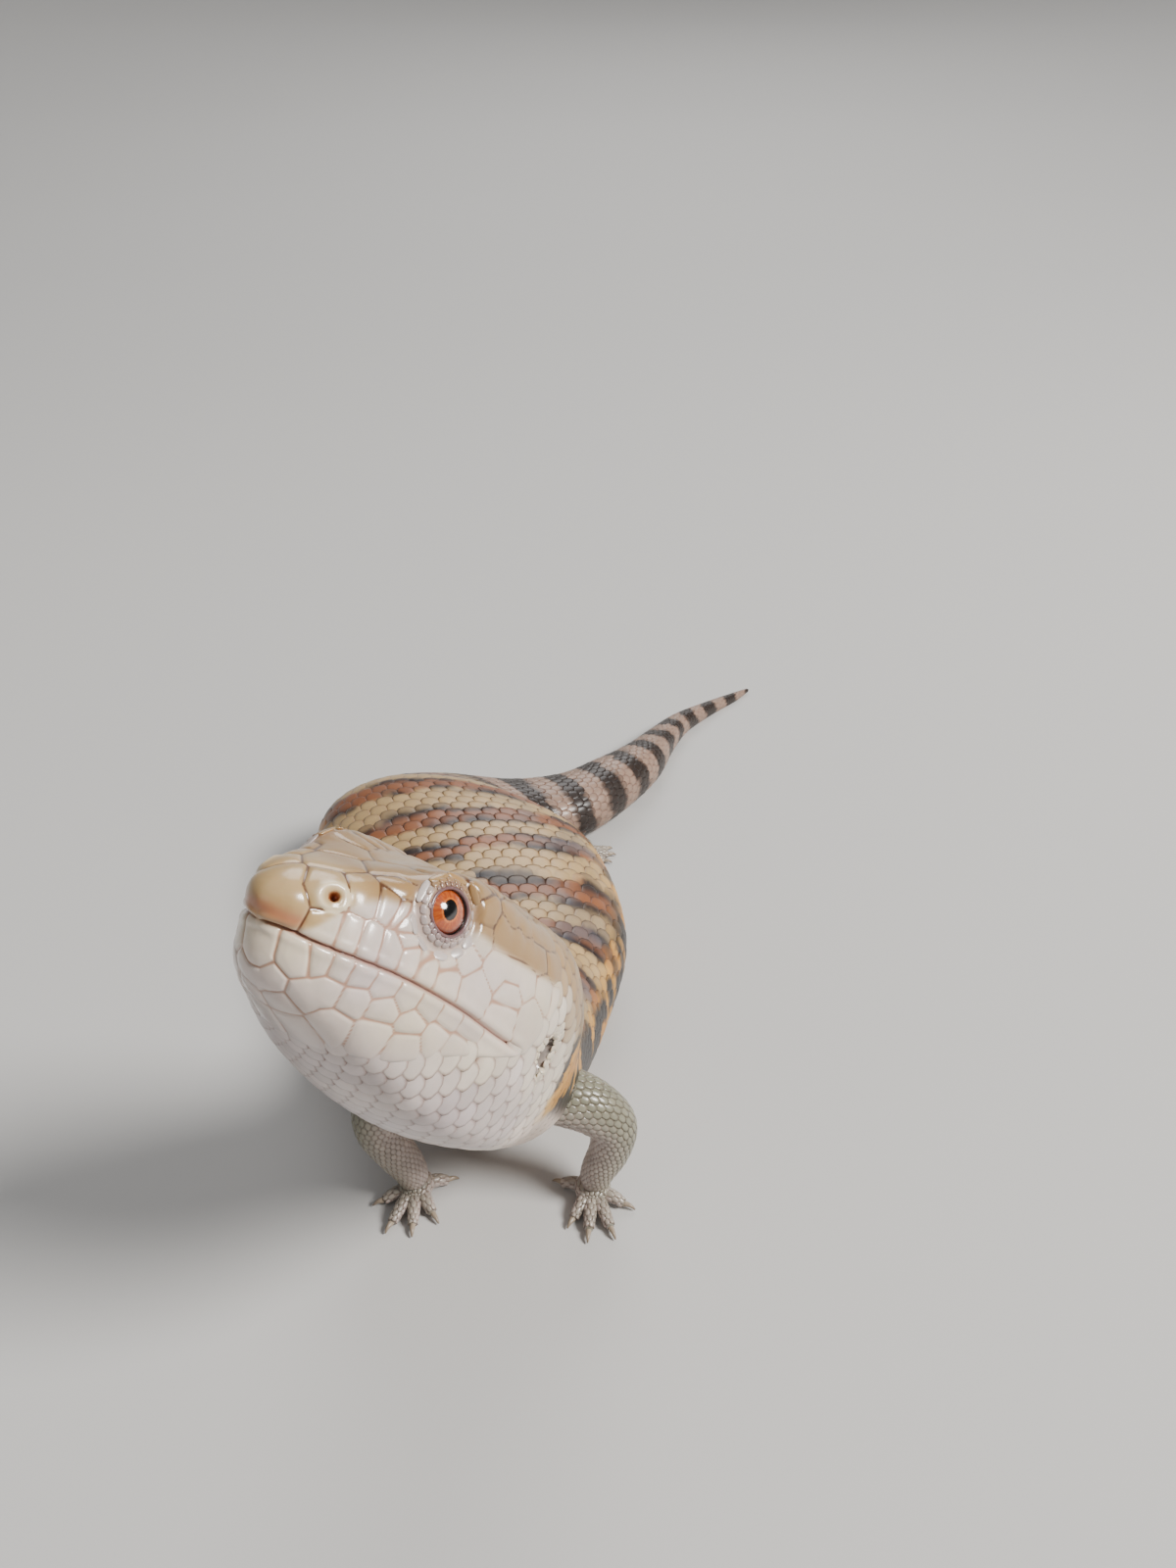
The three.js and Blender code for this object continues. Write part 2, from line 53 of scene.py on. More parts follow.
# Head, in its own frame: x to the snout tip, y to the animal's left, z to its crown
HEAD_LENGTH = 33.0
HEAD_BACK = -4.0
HEAD_YAW = 34.0
HEAD_PITCH = 46.0
HEAD_ORIGIN = np.array([2.4, -58.3, 43.8])
HEAD_LINES = 12              # lines round the whole head
CHIN_LINE = 6
MOUTH_LINE = 3               # the line that the lips follow
MOUTH_CORNER = 6.0
MOUTH_HALF, MOUTH_DEPTH = 0.15, 0.48
LIP_AT, LIP_HALF, LIP_SWELL = 0.65, 0.38, 0.12
SEAM_HALF, SEAM_DEPTH = 0.17, 0.15
SHIELD_SWELL, SHIELD_ROUNDING = 0.09, 1.3

# Eyes and lids
EYE_AT = np.array([19.3, 6.2, 6.9])
EYE_AIM = np.array([0.3, 1.0, 0.3])
EYE_RADIUS = 2.7
EYE_OPENING = 1.95
GAZE = (0.50, 1.0, 0.34)
PUPIL = (0.68, 0.88)         # half its width and half its height
LID_LENGTHENING = 1.04       # of the opening along the head
LID_HEIGHT = 2.2             # of the lid's edge above the middle of the eye
LID_REACH = 4.1              # how far out the lids lift the skin
LID_SPREADS = [0, 1.75, 1.95, 2.15, 2.5, 3.0, LID_REACH]
LID_HEIGHTS = [0.6, 0.9, 1.75] + [LID_HEIGHT - drop for drop in (0.05, 0.15, 0.6, 1.6)]
# Rows of small scales round each eye: distance from its middle, how many, half their depth towards
# it, half their length round it, where they lie (1 above the eye, -1 below, 0 all round), and how much
# of the lid edge's colour they have
LID_ROWS = ((2.32, 26, 0.26, 0.27, 0, 0.55), (2.80, 20, 0.30, 0.42, 0, 0.2),
            (3.50, 12, 0.46, 0.86, -1, 0.0), (3.40, 9, 0.36, 1.10, 1, 0.0))
LEAST_LID_AIM = 0.62         # no lid scale lies where the skin turns further from the eye's aim
BEAD_HEIGHT = 0.13

# Nostrils and ears
NOSTRIL_AT = np.array([29.2, 3.75, 4.75])
NOSTRIL_AIM = np.array([0.75, 0.62, 0.2])
NOSTRIL_RADIUS, NOSTRIL_DEPTH = 0.35, 1.3
NOSTRIL_RIM_RADIUS, NOSTRIL_RIM_HEIGHT = 1.05, 0.20
EAR_AT = np.array([-0.4, 11.9, -1.0])
EAR_HALF = (1.2, 2.0)
EAR_DEPTH = 1.8
EAR_CLEAR = 1.7              # no overlapping scale has its middle this near the ear
EAR_SCALES = 18
EAR_RINGS = ((0.30, 0.34), (0.95, 0.50), (1.75, 0.56))    # distance from the ear's edge, half size

# Each line along the head from the top (0) to the chin (6), at these distances from its origin
STATION_X = [33, 32.8, 32.2, 31.04, 29, 26, 23, 19, 15, 10, 5, 0, HEAD_BACK]
MIDLINE = [0.0] * len(STATION_X)
LINE_X = [
    [31.7, 32.3, 32.8, 32.25, 29.9], [31.7, 32.2, 32.45, 31.8, 29.3], [31.7, 31.95, 31.8, 31.1, 29.0],
    [31.7, 31.45, 31.0, 30.1, 28.6], [31.7, 31.25, 30.75, 29.85, 28.5], [31.7, 31.2, 30.8, 30.05, 28.6],
    [31.7, 31.2, 30.85, 30.2, 28.8]]
LINE_Y = [
    MIDLINE,
    [0, 0.55, 1.25, 2.1, 3.3, 4.5, 5.7, 7.5, 8.0, 7.9, 7.7, 7.6, 7.5],
    [0, 0.9, 1.9, 3.0, 4.3, 6.3, 7.8, 9.1, 10.2, 11.3, 11.8, 11.6, 11.1],
    [0, 1.0, 2.0, 3.2, 4.6, 6.7, 8.2, 9.8, 10.9, 11.9, 12.2, 11.9, 11.2],
    [0, 0.9, 1.7, 2.7, 4.0, 6.0, 7.5, 9.2, 10.3, 11.4, 11.8, 11.4, 10.7],
    [0, 0.5, 0.95, 1.5, 2.4, 4.0, 5.3, 6.9, 8.1, 9.0, 9.3, 9.0, 8.4],
    MIDLINE]
LINE_Z = [
    [1.0, 1.55, 2.7, 4.2, 6.1, 7.6, 8.6, 9.6, 10.4, 11.0, 11.2, 11.2, 11.1],
    [1.0, 1.5, 2.55, 3.9, 5.7, 7.1, 8.4, 10.4, 10.8, 10.6, 10.2, 9.8, 9.5],
    [1.0, 1.3, 1.9, 2.7, 3.3, 4.0, 4.3, 4.2, 4.2, 4.4, 4.4, 4.2, 4.0],
    [1.0, 1.0, 1.0, 1.0, 1.0, 1.1, 1.1, 0.8, 0.3, -0.6, -1.2, -1.8, -2.0],
    [1.0, 0.45, -0.3, -1.1, -1.8, -2.1, -2.5, -3.3, -4.1, -5.1, -5.9, -6.5, -6.8],
    [1.0, 0.2, -0.8, -2.0, -3.3, -4.5, -5.6, -7.2, -8.7, -10.1, -11.0, -11.4, -11.4],
    [1.0, 0.1, -1.0, -2.3, -3.8, -5.4, -6.8, -8.8, -10.6, -12.2, -13.2, -13.6, -13.6]]

# Body from the neck to the tail's tip: x, y, z, half width, height above and below, turn and rise in degrees
STATIONS = np.array([
    [3.5, -56.6, 40.1, 11.4, 12.3, 12.4, HEAD_YAW, HEAD_PITCH],
    [4.6, -50.4, 31.6, 10.6, 10.4, 11.2, 22, 54],
    [3.4, -42.2, 21.2, 11.6, 9.6, 10.4, 7, 43],
    [2.4, -32.0, 14.8, 14.2, 10.4, 11.2, 2, 27],
    [1.6, -21.5, 10.8, 17.4, 11.2, 11.2, -2, 14],
    [0.2, -8.0, 9.2, 22.0, 12.0, 9.8, -8, 4],
    [-3.0, 7.0, 9.0, 23.2, 12.3, 9.5, -13, 0],
    [-7.7, 20.0, 8.9, 22.8, 12.0, 9.4, -6, 1],
    [-11.5, 30.4, 8.1, 19.2, 11.2, 8.5, 5, 2],
    [-6.4, 38.0, 7.1, 13.0, 7.6, 7.5, 30, 2],
    [5.0, 40.4, 6.3, 9.0, 5.4, 6.6, 50, 2],
    [13.3, 44.7, 5.7, 7.2, 5.1, 6.0, 50, 3],
    [20.4, 52.6, 5.2, 6.0, 5.0, 5.4, 38, 4],
    [26.6, 62.5, 4.3, 4.9, 4.2, 4.6, 28, 4],
    [31.2, 73.5, 3.3, 3.5, 3.1, 3.6, 25, 4],
    [36.5, 84.5, 2.4, 2.4, 2.1, 2.7, 31, 3],
    [44.0, 94.0, 1.6, 1.5, 1.3, 1.9, 40, 3],
    [51.0, 101.5, 1.0, 0.85, 0.7, 1.2, 44, 2],
    [54.2, 105.0, 0.8, 0.35, 0.3, 0.4, 44, 0]])
SQUARENESS = 2.25
NECK_BLEND = 14.0
HEAD_AROUND = [0, 36, 66, 95, 118, 141, 180]
TAIL_START = 111.0

# Limbs: joints x, y, z, radius, then the palm and the toes (heading and length)
LIMBS = {
    "foreleg_left": dict(
        joints=[(7.5, -43.2, 18.4, 4.1), (12.6, -43.9, 16.8, 3.8), (16.4, -44.3, 15.2, 3.5),
                (19.1, -44.6, 12.4, 3.05), (18.8, -44.9, 8.8, 2.7), (17.2, -45.2, 4.8, 2.2)],
        palm=(16.6, -45.0, 1.7), half=(2.3, 2.5, 1.6), turn=-4,
        toes=[(-113, 2.1), (-31, 2.6), (-5, 3.9), (22, 3.9), (66, 2.3)]),
    "foreleg_right": dict(
        joints=[(-1.5, -43.2, 19.4, 4.1), (-6.4, -44.0, 18.0, 3.7), (-9.8, -44.8, 15.4, 3.2),
                (-10.0, -45.0, 12.4, 2.95), (-8.6, -45.0, 9.0, 2.7), (-6.6, -44.9, 4.8, 2.2)],
        palm=(-6.1, -44.6, 1.7), half=(2.3, 2.5, 1.6), turn=2,
        toes=[(113, 2.1), (34, 2.4), (2, 3.4), (-26, 3.6), (-68, 2.2)]),
    "hindleg_left": dict(
        joints=[(0.5, 27.2, 8.0, 5.0), (6.0, 26.8, 7.4, 4.5), (10.8, 27.0, 6.3, 3.8),
                (13.9, 28.4, 5.0, 3.1), (14.6, 30.4, 3.8, 2.6), (14.4, 32.0, 2.9, 2.2)],
        palm=(14.3, 32.3, 1.7), half=(2.2, 2.5, 1.6), turn=130,
        toes=[(52, 2.0), (84, 2.6), (106, 3.6), (124, 4.0), (144, 2.2)]),
    "hindleg_right": dict(
        joints=[(-14.0, 32.0, 8.0, 5.2), (-18.2, 38.2, 7.2, 4.6), (-20.8, 43.4, 6.0, 3.9),
                (-19.0, 47.6, 4.9, 3.2), (-15.8, 50.4, 3.7, 2.7), (-13.4, 52.0, 2.8, 2.2)],
        palm=(-12.0, 53.0, 1.7), half=(2.3, 2.8, 1.6), turn=120,
        toes=[(-160, 2.2), (166, 3.2), (146, 4.6), (126, 5.0), (98, 3.0)])}
TOE_ROOT, TOE_TIP, TOE_SPREAD = 0.9, 0.62, 0.8
CLAW_LENGTH, CLAW_ROOT, CLAW_TIP, CLAW_GAP = 1.3, 0.36, 0.11, 0.3
# How far along the claw, as a share of its length, how high it lies there and its radius
CLAW_STEPS = ((0.0, 0.75, CLAW_ROOT), (0.5, 0.72, 0.72 * CLAW_ROOT), (0.85, 0.46, 0.42 * CLAW_ROOT),
              (1.0, 0.3, 0.7 * CLAW_TIP))

# Shields of the head's left side, each by one or more middles (backness, round). Those with a middle on
# round 0 or 6 are whole, and the others are mirrored to the right
SHIELDS = {
    "rostral": [[(0.9, 0.0), (1.35, 0.0), (1.0, 1.5)]],
    "nasal": [[(1.95, 1.3)]],
    "frontonasal": [[(2.6, 0.0)]],
    "postnasal": [[(2.45, 1.35)]],
    "loreal": [[(2.84, 1.5)]],
    "preocular": [[(3.12, 1.72)]],
    "prefrontal": [[(3.2, 0.5), (3.25, 0.8)]],
    "frontal": [[(3.85, 0.0), (4.2, 0.0), (4.5, 0.0)]],
    "supraocular": [[(3.62, 0.66)], [(3.95, 0.72)], [(4.25, 0.72)], [(4.5, 0.75)]],
    "frontoparietal": [[(4.82, 0.36)]],
    "interparietal": [[(5.15, 0.0)]],
    "parietal": [[(5.0, 0.85), (5.25, 0.7), (5.45, 0.42)]],
    "outer_parietal": [[(4.65, 1.18), (4.95, 1.2), (5.2, 1.2), (5.45, 1.15)]],
    "upper_temporal": [[(4.5, 1.52), (4.75, 1.53), (5.0, 1.54), (5.2, 1.55)], [(5.5, 1.56), (5.7, 1.56)]],
    "lower_temporal": [[(4.5, 1.88), (4.75, 1.9), (4.95, 1.92)], [(5.3, 1.95)], [(5.6, 2.0)]],
    "upper_lip": [[(1.95, 2.42)], [(2.31, 2.48)], [(2.63, 2.5)], [(2.94, 2.47)], [(3.24, 2.45)],
                  [(3.52, 2.45)], [(3.82, 2.45)], [(4.22, 2.42)]],
    "cheek": [[(4.75, 2.2)], [(4.75, 2.68)], [(5.15, 2.45)]],
    "mental": [[(0.9, 6.0), (1.2, 6.0)]],
    "lower_lip": [[(1.6, 3.7)], [(2.05, 3.38)], [(2.4, 3.34)], [(2.72, 3.32)], [(3.08, 3.32)],
                  [(3.42, 3.32)], [(3.73, 3.3)], [(4.04, 3.28)], [(4.36, 3.24)], [(4.74, 3.2)]],
    "postmental": [[(1.85, 6.0), (1.85, 5.4)]],
    "chin": [[(2.3, 4.6), (2.45, 4.1)], [(2.85, 3.95)], [(3.25, 3.8)], [(3.65, 3.72)], [(4.0, 3.68)],
             [(4.33, 3.62)]],
    "inner_chin": [[(2.4, 5.5)], [(2.9, 4.8)], [(3.35, 4.35)], [(3.75, 4.15)]],
    "middle_chin": [[(2.9, 5.6)]]}
EYE_RING_SHIELDS = 12
EYE_RING_RADIUS = 4.6
EYE_RING_HEIGHT = 1.2
# Behind this distance along the head, at each line round it, overlapping scales begin
SCALES_FROM_ROUND = [0, 1, 1.5, 2, 2.5, 3, 3.5, 4, 4.5, 5, 6]
SCALES_FROM_X = [2.0, 1.5, 1.0, 2.0, 3.5, 5.0, 11.5, 16.0, 19.0, 21.5, 22.5]

# Grids: rows along, columns round
SNOUT_BACKNESS = 0.28
HEAD_ROWS, HEAD_COLUMNS = 184, 288
BODY_ROWS, BODY_COLUMNS = 190, 96
EYE_GRID, BEAD_GRID, EDGE_GRID = (72, 120), (9, 14), (121, 12)

# Scales: how many go round, the pitch of their rows as a share of their columns', where they start and
# end along the body, and their form
THROAT_COLUMNS, THROAT_PITCH = 29, 0.56
TRUNK_COLUMNS, TRUNK_PITCH = 38, 0.78
TAIL_PITCH = 0.95
THROAT_STRETCH = (-28.0, 3.0)
# rim is the painted shade at each scale's rim
THROAT_FORM = dict(jitter=0.025, lift=0.23, rim=0.64, sides=14, rings=(0.4, 0.75, 0.92, 1.0))
TRUNK_STRETCHES = {"scales_neck": (3.0, 24.0), "scales_torso_front": (24.0, 66.0),
                   "scales_torso_rear": (66.0, 113.0)}
# Start, end (none for the tail's end) and how many go round
TAIL_STRETCHES = ((113, 122, 30), (122, 140, 24), (140, 160, 20), (160, 176, 16), (176, 190, 12),
                  (190, None, 8))
SCALE_SQUARENESS = 2.7
SCALE_LENGTH, SCALE_WIDTH = 1.85, 1.12    # of the pitch of the rows and of the columns
SHADE_WARMTH = np.array([0.8, 1.05, 1.15])    # the painted shade on a scale's rim turns brown
CROSSING_SHARE = 0.7         # how much of the markings' change crosses a scale
TAIL_BARE = 0.6              # length of the tail's tip without scales

# Unwrap: the body below, the limbs side by side above it, each with its arm, palm and toes
UNWRAP_PATCH = 0.003         # side of a scale's patch
UNWRAP_EDGE = 0.01
UNWRAP_BODY = (0.98, 0.77)
UNWRAP_BODY_START, UNWRAP_BODY_LENGTH = -38, 243
UNWRAP_LIMB = (0.22, 0.18)
UNWRAP_LIMB_PITCH, UNWRAP_LIMB_START = 0.245, 0.81

# Each surface of a limb: its stretch of the limb's unwrap, the grid of its skin, how far its scales stay
# from its ends, how many go round, the pitch of their rows, how much paler they are, and their form
ARM = ((0.0, 0.55), (44, 32), (1.0, 1.5), 22, 0.85, 0.0,
       dict(jitter=0.03, lift=0.11, dome=0.035, thickness=0.09, depth=0.2, sides=10, rings=(0.6, 1.0)))
PALM = ((0.58, 0.70), (20, 24), (0.6, 0.4), 14, 0.8, 0.25,
        dict(jitter=0.035, lift=0.10, dome=0.05, thickness=0.08, depth=0.14, sides=8, rings=(0.6, 1.0)))
TOE_FORM = dict(jitter=0.035, lift=0.08, dome=0.05, thickness=0.07, depth=0.1, sides=8, rings=(0.6, 1.0))
TOES = [((0.72 + 0.055 * k, 0.765 + 0.055 * k), (12, 12), (1.2, 0.15), 6, 0.85, 0.5, TOE_FORM)
        for k in range(5)]

random = np.random.default_rng(7)


# Curves and small helpers
def hermite(t, span, start, end, slope_start, slope_end):
    t2, t3 = t * t, t * t * t
    return ((2 * t3 - 3 * t2 + 1) * start + (t3 - 2 * t2 + t) * span * slope_start
            + (3 * t2 - 2 * t3) * end + (t3 - t2) * span * slope_end)


def curve_through(xs, ys):
    xs, ys = np.array(xs, float), np.array(ys, float)
    gaps = np.diff(xs)
    steps = np.diff(ys) / gaps
    slopes = np.empty(len(xs))
    slopes[0], slopes[-1] = steps[0], steps[-1]
    slopes[1:-1] = (steps[:-1] * gaps[1:] + steps[1:] * gaps[:-1]) / (gaps[:-1] + gaps[1:])

    def at(x):
        x = np.clip(np.asarray(x, float), xs[0], xs[-1])
        i = np.clip(np.searchsorted(xs, x, side="right") - 1, 0, len(gaps) - 1)
        return hermite((x - xs[i]) / gaps[i], gaps[i], ys[i], ys[i + 1], slopes[i], slopes[i + 1])
    return at


def smooth(t):
    c = np.clip(t, 0, 1)
    return c * c * (3 - 2 * c)


def ramp(value, start, width):
    """From 0 at start to 1 at a width beyond it. A width below zero turns the ramp round."""
    return smooth((value - start) / width)


def bell(value, middle, width):
    return np.exp(-((value - middle) / width) ** 2)


def bulge(value, power):
    """The value's size to a power, with its sign."""
    return np.sign(value) * np.abs(value) ** power


def mix(a, b, share):
    return a + (b - a) * share


def tint(a, b, share):
    """Mixes colours, which lie along the last axis of a and b."""
    return np.asarray(a) + (np.asarray(b) - a) * np.asarray(share, float)[..., None]


def unit(v):
    v = np.asarray(v, float)
    return v / np.maximum(np.linalg.norm(v, axis=-1, keepdims=True), 1e-12)


def distances_along(points):
    """How far each point of a line lies from its start."""
    return np.concatenate([[0], np.cumsum(np.linalg.norm(np.diff(points, axis=0), axis=1))])


def turns(count):
    """Angles spaced evenly round a circle."""
    return np.linspace(0, 2 * math.pi, count + 1)[:-1]


def axes(turn, rise):
    """Forward, left and up of a frame that is turned from -y towards -x and then raised, in degrees."""
    turn, rise = np.radians(turn), np.radians(rise)
    forward = np.stack([-np.sin(turn) * np.cos(rise), -np.cos(turn) * np.cos(rise), np.sin(rise)], -1)
    left = unit(np.cross(UP, forward))
    return forward, left, np.cross(forward, left)


NOISE_CELLS = 64
NOISE_TABLE = random.random((NOISE_CELLS, NOISE_CELLS))


def noise(x, y):
    """Smooth noise from 0 to 1 with a feature about every unit."""
    x, y = np.asarray(x, float) + 1000, np.asarray(y, float) + 1000
    i, j = np.floor(x).astype(int), np.floor(y).astype(int)
    a, b = smooth(x - i), smooth(y - j)

    def between(dj):
        row = (j + dj) % NOISE_CELLS
        return NOISE_TABLE[i % NOISE_CELLS, row] * (1 - a) + NOISE_TABLE[(i + 1) % NOISE_CELLS, row] * a
    return between(0) * (1 - b) + between(1) * b


def linear(color):
    """From a colour as seen on a screen to the light it stands for."""
    c = np.asarray(color, float)
    return np.where(c <= 0.04045, c / 12.92, ((c + 0.055) / 1.055) ** 2.4)


# Head
BACKNESS = [math.sqrt(HEAD_LENGTH - x) for x in STATION_X]
LAST_BACKNESS = BACKNESS[-1]
LINES = [[curve_through(BACKNESS, values) for values in (xs + STATION_X[len(xs):], ys, zs)]
         for xs, ys, zs in zip(LINE_X, LINE_Y, LINE_Z)]
HEAD_AXES = np.array(axes(HEAD_YAW, HEAD_PITCH))


def from_head(p):
    return HEAD_ORIGIN + np.asarray(p, float) @ HEAD_AXES


def to_head(p):
    return (np.asarray(p, float) - HEAD_ORIGIN) @ HEAD_AXES.T


def head_point(backness, round_):
    """A point of the head in its own frame; round_ runs from 0 on the crown down the left side to 6 on the
    chin, and up the right side to 12."""
    q, v = np.broadcast_arrays(np.asarray(backness, float), np.asarray(round_, float))
    right = v > CHIN_LINE
    folded = np.where(right, HEAD_LINES - v, v)
    i = np.clip(np.floor(folded).astype(int), 0, CHIN_LINE - 1)
    t = folded - i
    values = np.array([[f(q) for f in line] for line in LINES])
    mirrored = np.array([1, -1, 1]).reshape(1, 3, *[1] * q.ndim)
    values = np.concatenate([values[1:2] * mirrored, values, values[5:6] * mirrored])
    out = []
    for k in range(3):
        p = [np.take_along_axis(values[:, k], (i + j)[None], 0)[0] for j in range(4)]
        out.append(hermite(t, 1, p[1], p[2], (p[2] - p[0]) / 2, (p[3] - p[1]) / 2))
    out[1] = np.where(right, -out[1], out[1])
    return np.stack(out, -1)


# Body
BODY_LENGTHS = distances_along(STATIONS[:, :3])
BODY_LENGTH = BODY_LENGTHS[-1]
BODY = [curve_through(BODY_LENGTHS, STATIONS[:, k]) for k in range(STATIONS.shape[1])]
ROUND_AT_ANGLE = curve_through(HEAD_AROUND, range(len(HEAD_AROUND)))
NECK_HEIGHT = float(to_head(np.array([BODY[k](0.0) for k in range(3)]))[2])


def body_point(s, angle):
    """A point of the body, s millimetres behind the head and angle degrees round from its top."""
    s, angle = np.broadcast_arrays(np.asarray(s, float), np.asarray(angle, float))
    width, above, below = (BODY[k](s) for k in (3, 4, 5))
    turned = np.mod(angle, 360)
    side = np.where(turned > 180, -1.0, 1.0)
    folded = np.radians(np.where(turned > 180, 360 - turned, turned))
    power = 2 / SQUARENESS
    upness = np.cos(folded)
    y = width * bulge(np.sin(folded), power)
    z = bulge(upness, power) * np.where(upness > 0, above, below)
    head_share = 1 - smooth(s / NECK_BLEND)
    neck = head_point(np.full(s.shape, LAST_BACKNESS), ROUND_AT_ANGLE(np.degrees(folded)))
    y = mix(y, neck[..., 1], head_share)
    z = mix(z, neck[..., 2] - NECK_HEIGHT, head_share)
    _, left, up = axes(BODY[6](s), BODY[7](s))
    middle = np.stack([BODY[k](s) for k in range(3)], -1)
    out = middle + left * (side * y)[..., None] + up * z[..., None]
    out[..., 2] = np.maximum(out[..., 2], 0.0)
    return out


class Surface:
    """A tube sampled on a grid: rows run along it and columns run round it and close."""

    def __init__(self, along, points):
        self.along = np.asarray(along, float)
        self.points = points
        lengthwise = np.gradient(points, axis=0)
        around = np.roll(points, -1, 1) - np.roll(points, 1, 1)
        normals = unit(np.cross(around, lengthwise))
        outward = points - points.mean(1, keepdims=True)
        if (normals * outward).sum() < 0:
            normals = -normals
        self.normals = normals
        self.perimeter = np.linalg.norm(np.roll(points, -1, 1) - points, axis=2).sum(1)

    def sample(self, along, share):
        """Positions and outward normals at distances along and shares round."""
        along, share = np.broadcast_arrays(along, share)
        row = np.interp(along, self.along, np.arange(len(self.along)))
        column = np.mod(share, 1) * self.points.shape[1]
        i = np.minimum(row.astype(int), len(self.along) - 2)
        j = column.astype(int)
        a, b = (row - i)[..., None], (column - j)[..., None]
        j0, j1 = j % self.points.shape[1], (j + 1) % self.points.shape[1]
        found = []
        for table in (self.points, self.normals):
            first = table[i, j0] * (1 - b) + table[i, j1] * b
            second = table[i + 1, j0] * (1 - b) + table[i + 1, j1] * b
            found.append(first * (1 - a) + second * a)
        return found[0], unit(found[1])

    def around_at(self, along):
        return np.interp(along, self.along, self.perimeter)


def evenly_round(ring, columns):
    """The ring's points moved so that they are evenly spaced on each half, from its first point."""
    half = len(ring) // 2
    out = []
    for part in (ring[:half + 1], np.concatenate([ring[half:], ring[:1]])):
        lengths = distances_along(part)
        wanted = np.linspace(0, lengths[-1], columns // 2 + 1)[:-1]
        out.append(np.stack([np.interp(wanted, lengths, part[:, k]) for k in range(3)], -1))
    return np.concatenate(out)


def whole_surface():
    """Head, neck, body and tail as one surface along s, which is below zero on the head."""
    q = np.linspace(1.6, LAST_BACKNESS, 150)
    fine = np.linspace(0, HEAD_LINES, 361)[:-1]
    head = from_head(head_point(q[:, None], fine[None, :]))
    s = np.linspace(0, BODY_LENGTH, 620)[1:]
    body = body_point(s[:, None], np.linspace(0, 360, 361)[:-1][None, :])
    rings = [evenly_round(ring, 240) for ring in (*head, *body)]
    return Surface(np.concatenate([q * q - (HEAD_LENGTH - HEAD_BACK), s]), np.array(rings))


def tube(joints, rows, columns):
    """A surface through joints x, y, z, radius with rings square to its way."""
    joints = np.array(joints, float)
    lengths = distances_along(joints[:, :3])
    curves = [curve_through(lengths, joints[:, k]) for k in range(4)]
    along = np.linspace(0, lengths[-1], rows)

    def at(s):
        return np.stack([curve(s) for curve in curves[:3]], -1)
    step = min(0.2, lengths[-1] / 50)
    forwards = unit(at(along - step) - at(along + step))
    across = np.array([1.0, 0, 0]) if abs(forwards[0][2]) > 0.95 else np.cross(UP, forwards[0])
    turn = turns(columns)[:, None]
    rings = []
    for place, forward, radius in zip(at(along), forwards, curves[3](along)):
        across = unit(across - forward * (across @ forward))
        up = np.cross(forward, across)
        rings.append(place + radius * (np.sin(turn) * across + np.cos(turn) * up))
    points = np.array(rings)
    points[..., 2] = np.maximum(points[..., 2], 0)
    return Surface(along, points)


def ball(middle, half, turn, rows, columns):
    """An egg with its ends along its own y axis, turned about the vertical."""
    polar = np.linspace(0.06, math.pi - 0.06, rows)[:, None]
    around = turns(columns)[None]
    local = np.stack([half[0] * np.sin(polar) * np.sin(around), half[1] * np.cos(polar) + 0 * around,
                      half[2] * np.sin(polar) * np.cos(around)], -1)
    a = math.radians(turn)
    rotate = np.array([[math.cos(a), math.sin(a), 0], [-math.sin(a), math.cos(a), 0], [0, 0, 1]])
    points = np.array(middle) + local @ rotate
    points[..., 2] = np.maximum(points[..., 2], 0)
    return Surface(np.linspace(0, 2 * half[1], rows), points)


# Colours, as seen on a screen
TAN = (0.58, 0.455, 0.29)
SNOUT_TAN = (0.68, 0.565, 0.39)
CREAM = (0.82, 0.76, 0.67)
LILAC = (0.76, 0.70, 0.70)
CHIN = (0.70, 0.64, 0.645)
PALE_BAND = (0.66, 0.545, 0.38)
RUST_BAND = (0.50, 0.31, 0.20)
BAND_EDGE = (0.11, 0.09, 0.10)
SLATE = (0.33, 0.35, 0.40)
BLACK_BLOTCH = (0.07, 0.06, 0.065)
YELLOW = (0.76, 0.52, 0.13)
BELLY = (0.83, 0.76, 0.71)
TAIL_DARK = (0.15, 0.11, 0.09)
TAIL_PALE = (0.54, 0.44, 0.38)
LIMB_OLIVE = (0.46, 0.45, 0.375)
LIMB_PALE = (0.66, 0.60, 0.57)
LIP_RUST = (0.66, 0.38, 0.25)
MOUTH = (0.58, 0.37, 0.30)
LID_EDGE = (0.40, 0.29, 0.29)
# the lid rim's own purplish colour, also used as painted shade in the gaps between the lid scales
LID_RIM_AND_GAP_SHADE = (0.58, 0.47, 0.44)
UNDER_EYE = (0.71, 0.66, 0.635)
NOSTRIL_RIM = (0.90, 0.84, 0.72)
NOSTRIL_WALL = (0.64, 0.33, 0.19)
# painted shade in the nostril's pit
NOSTRIL_PAINTED_SHADE = (0.25, 0.10, 0.07)
# painted shade in the ear's pit
EAR_PAINTED_SHADE = (0.16, 0.10, 0.09)
CLAW_BASE = (0.68, 0.62, 0.54)
CLAW_POINT = (0.46, 0.40, 0.34)
IRIS = (0.58, 0.24, 0.07)
IRIS_STREAK = (0.72, 0.38, 0.14)
IRIS_EDGE = (0.34, 0.12, 0.05)
PUPIL_EDGE = (0.85, 0.50, 0.22)
PUPIL_BLACK = (0.01, 0.01, 0.01)
EYE_EDGE = (0.08, 0.05, 0.04)
SEAM_ON_SIDE = np.array([0.84, 0.70, 0.62])     # how much of a shield's colour its seams keep
SEAM_ON_CROWN = np.array([0.54, 0.40, 0.29])
PAINTED_SKIN_SHADE = 0.8             # painted shade on the skin between overlapping scales
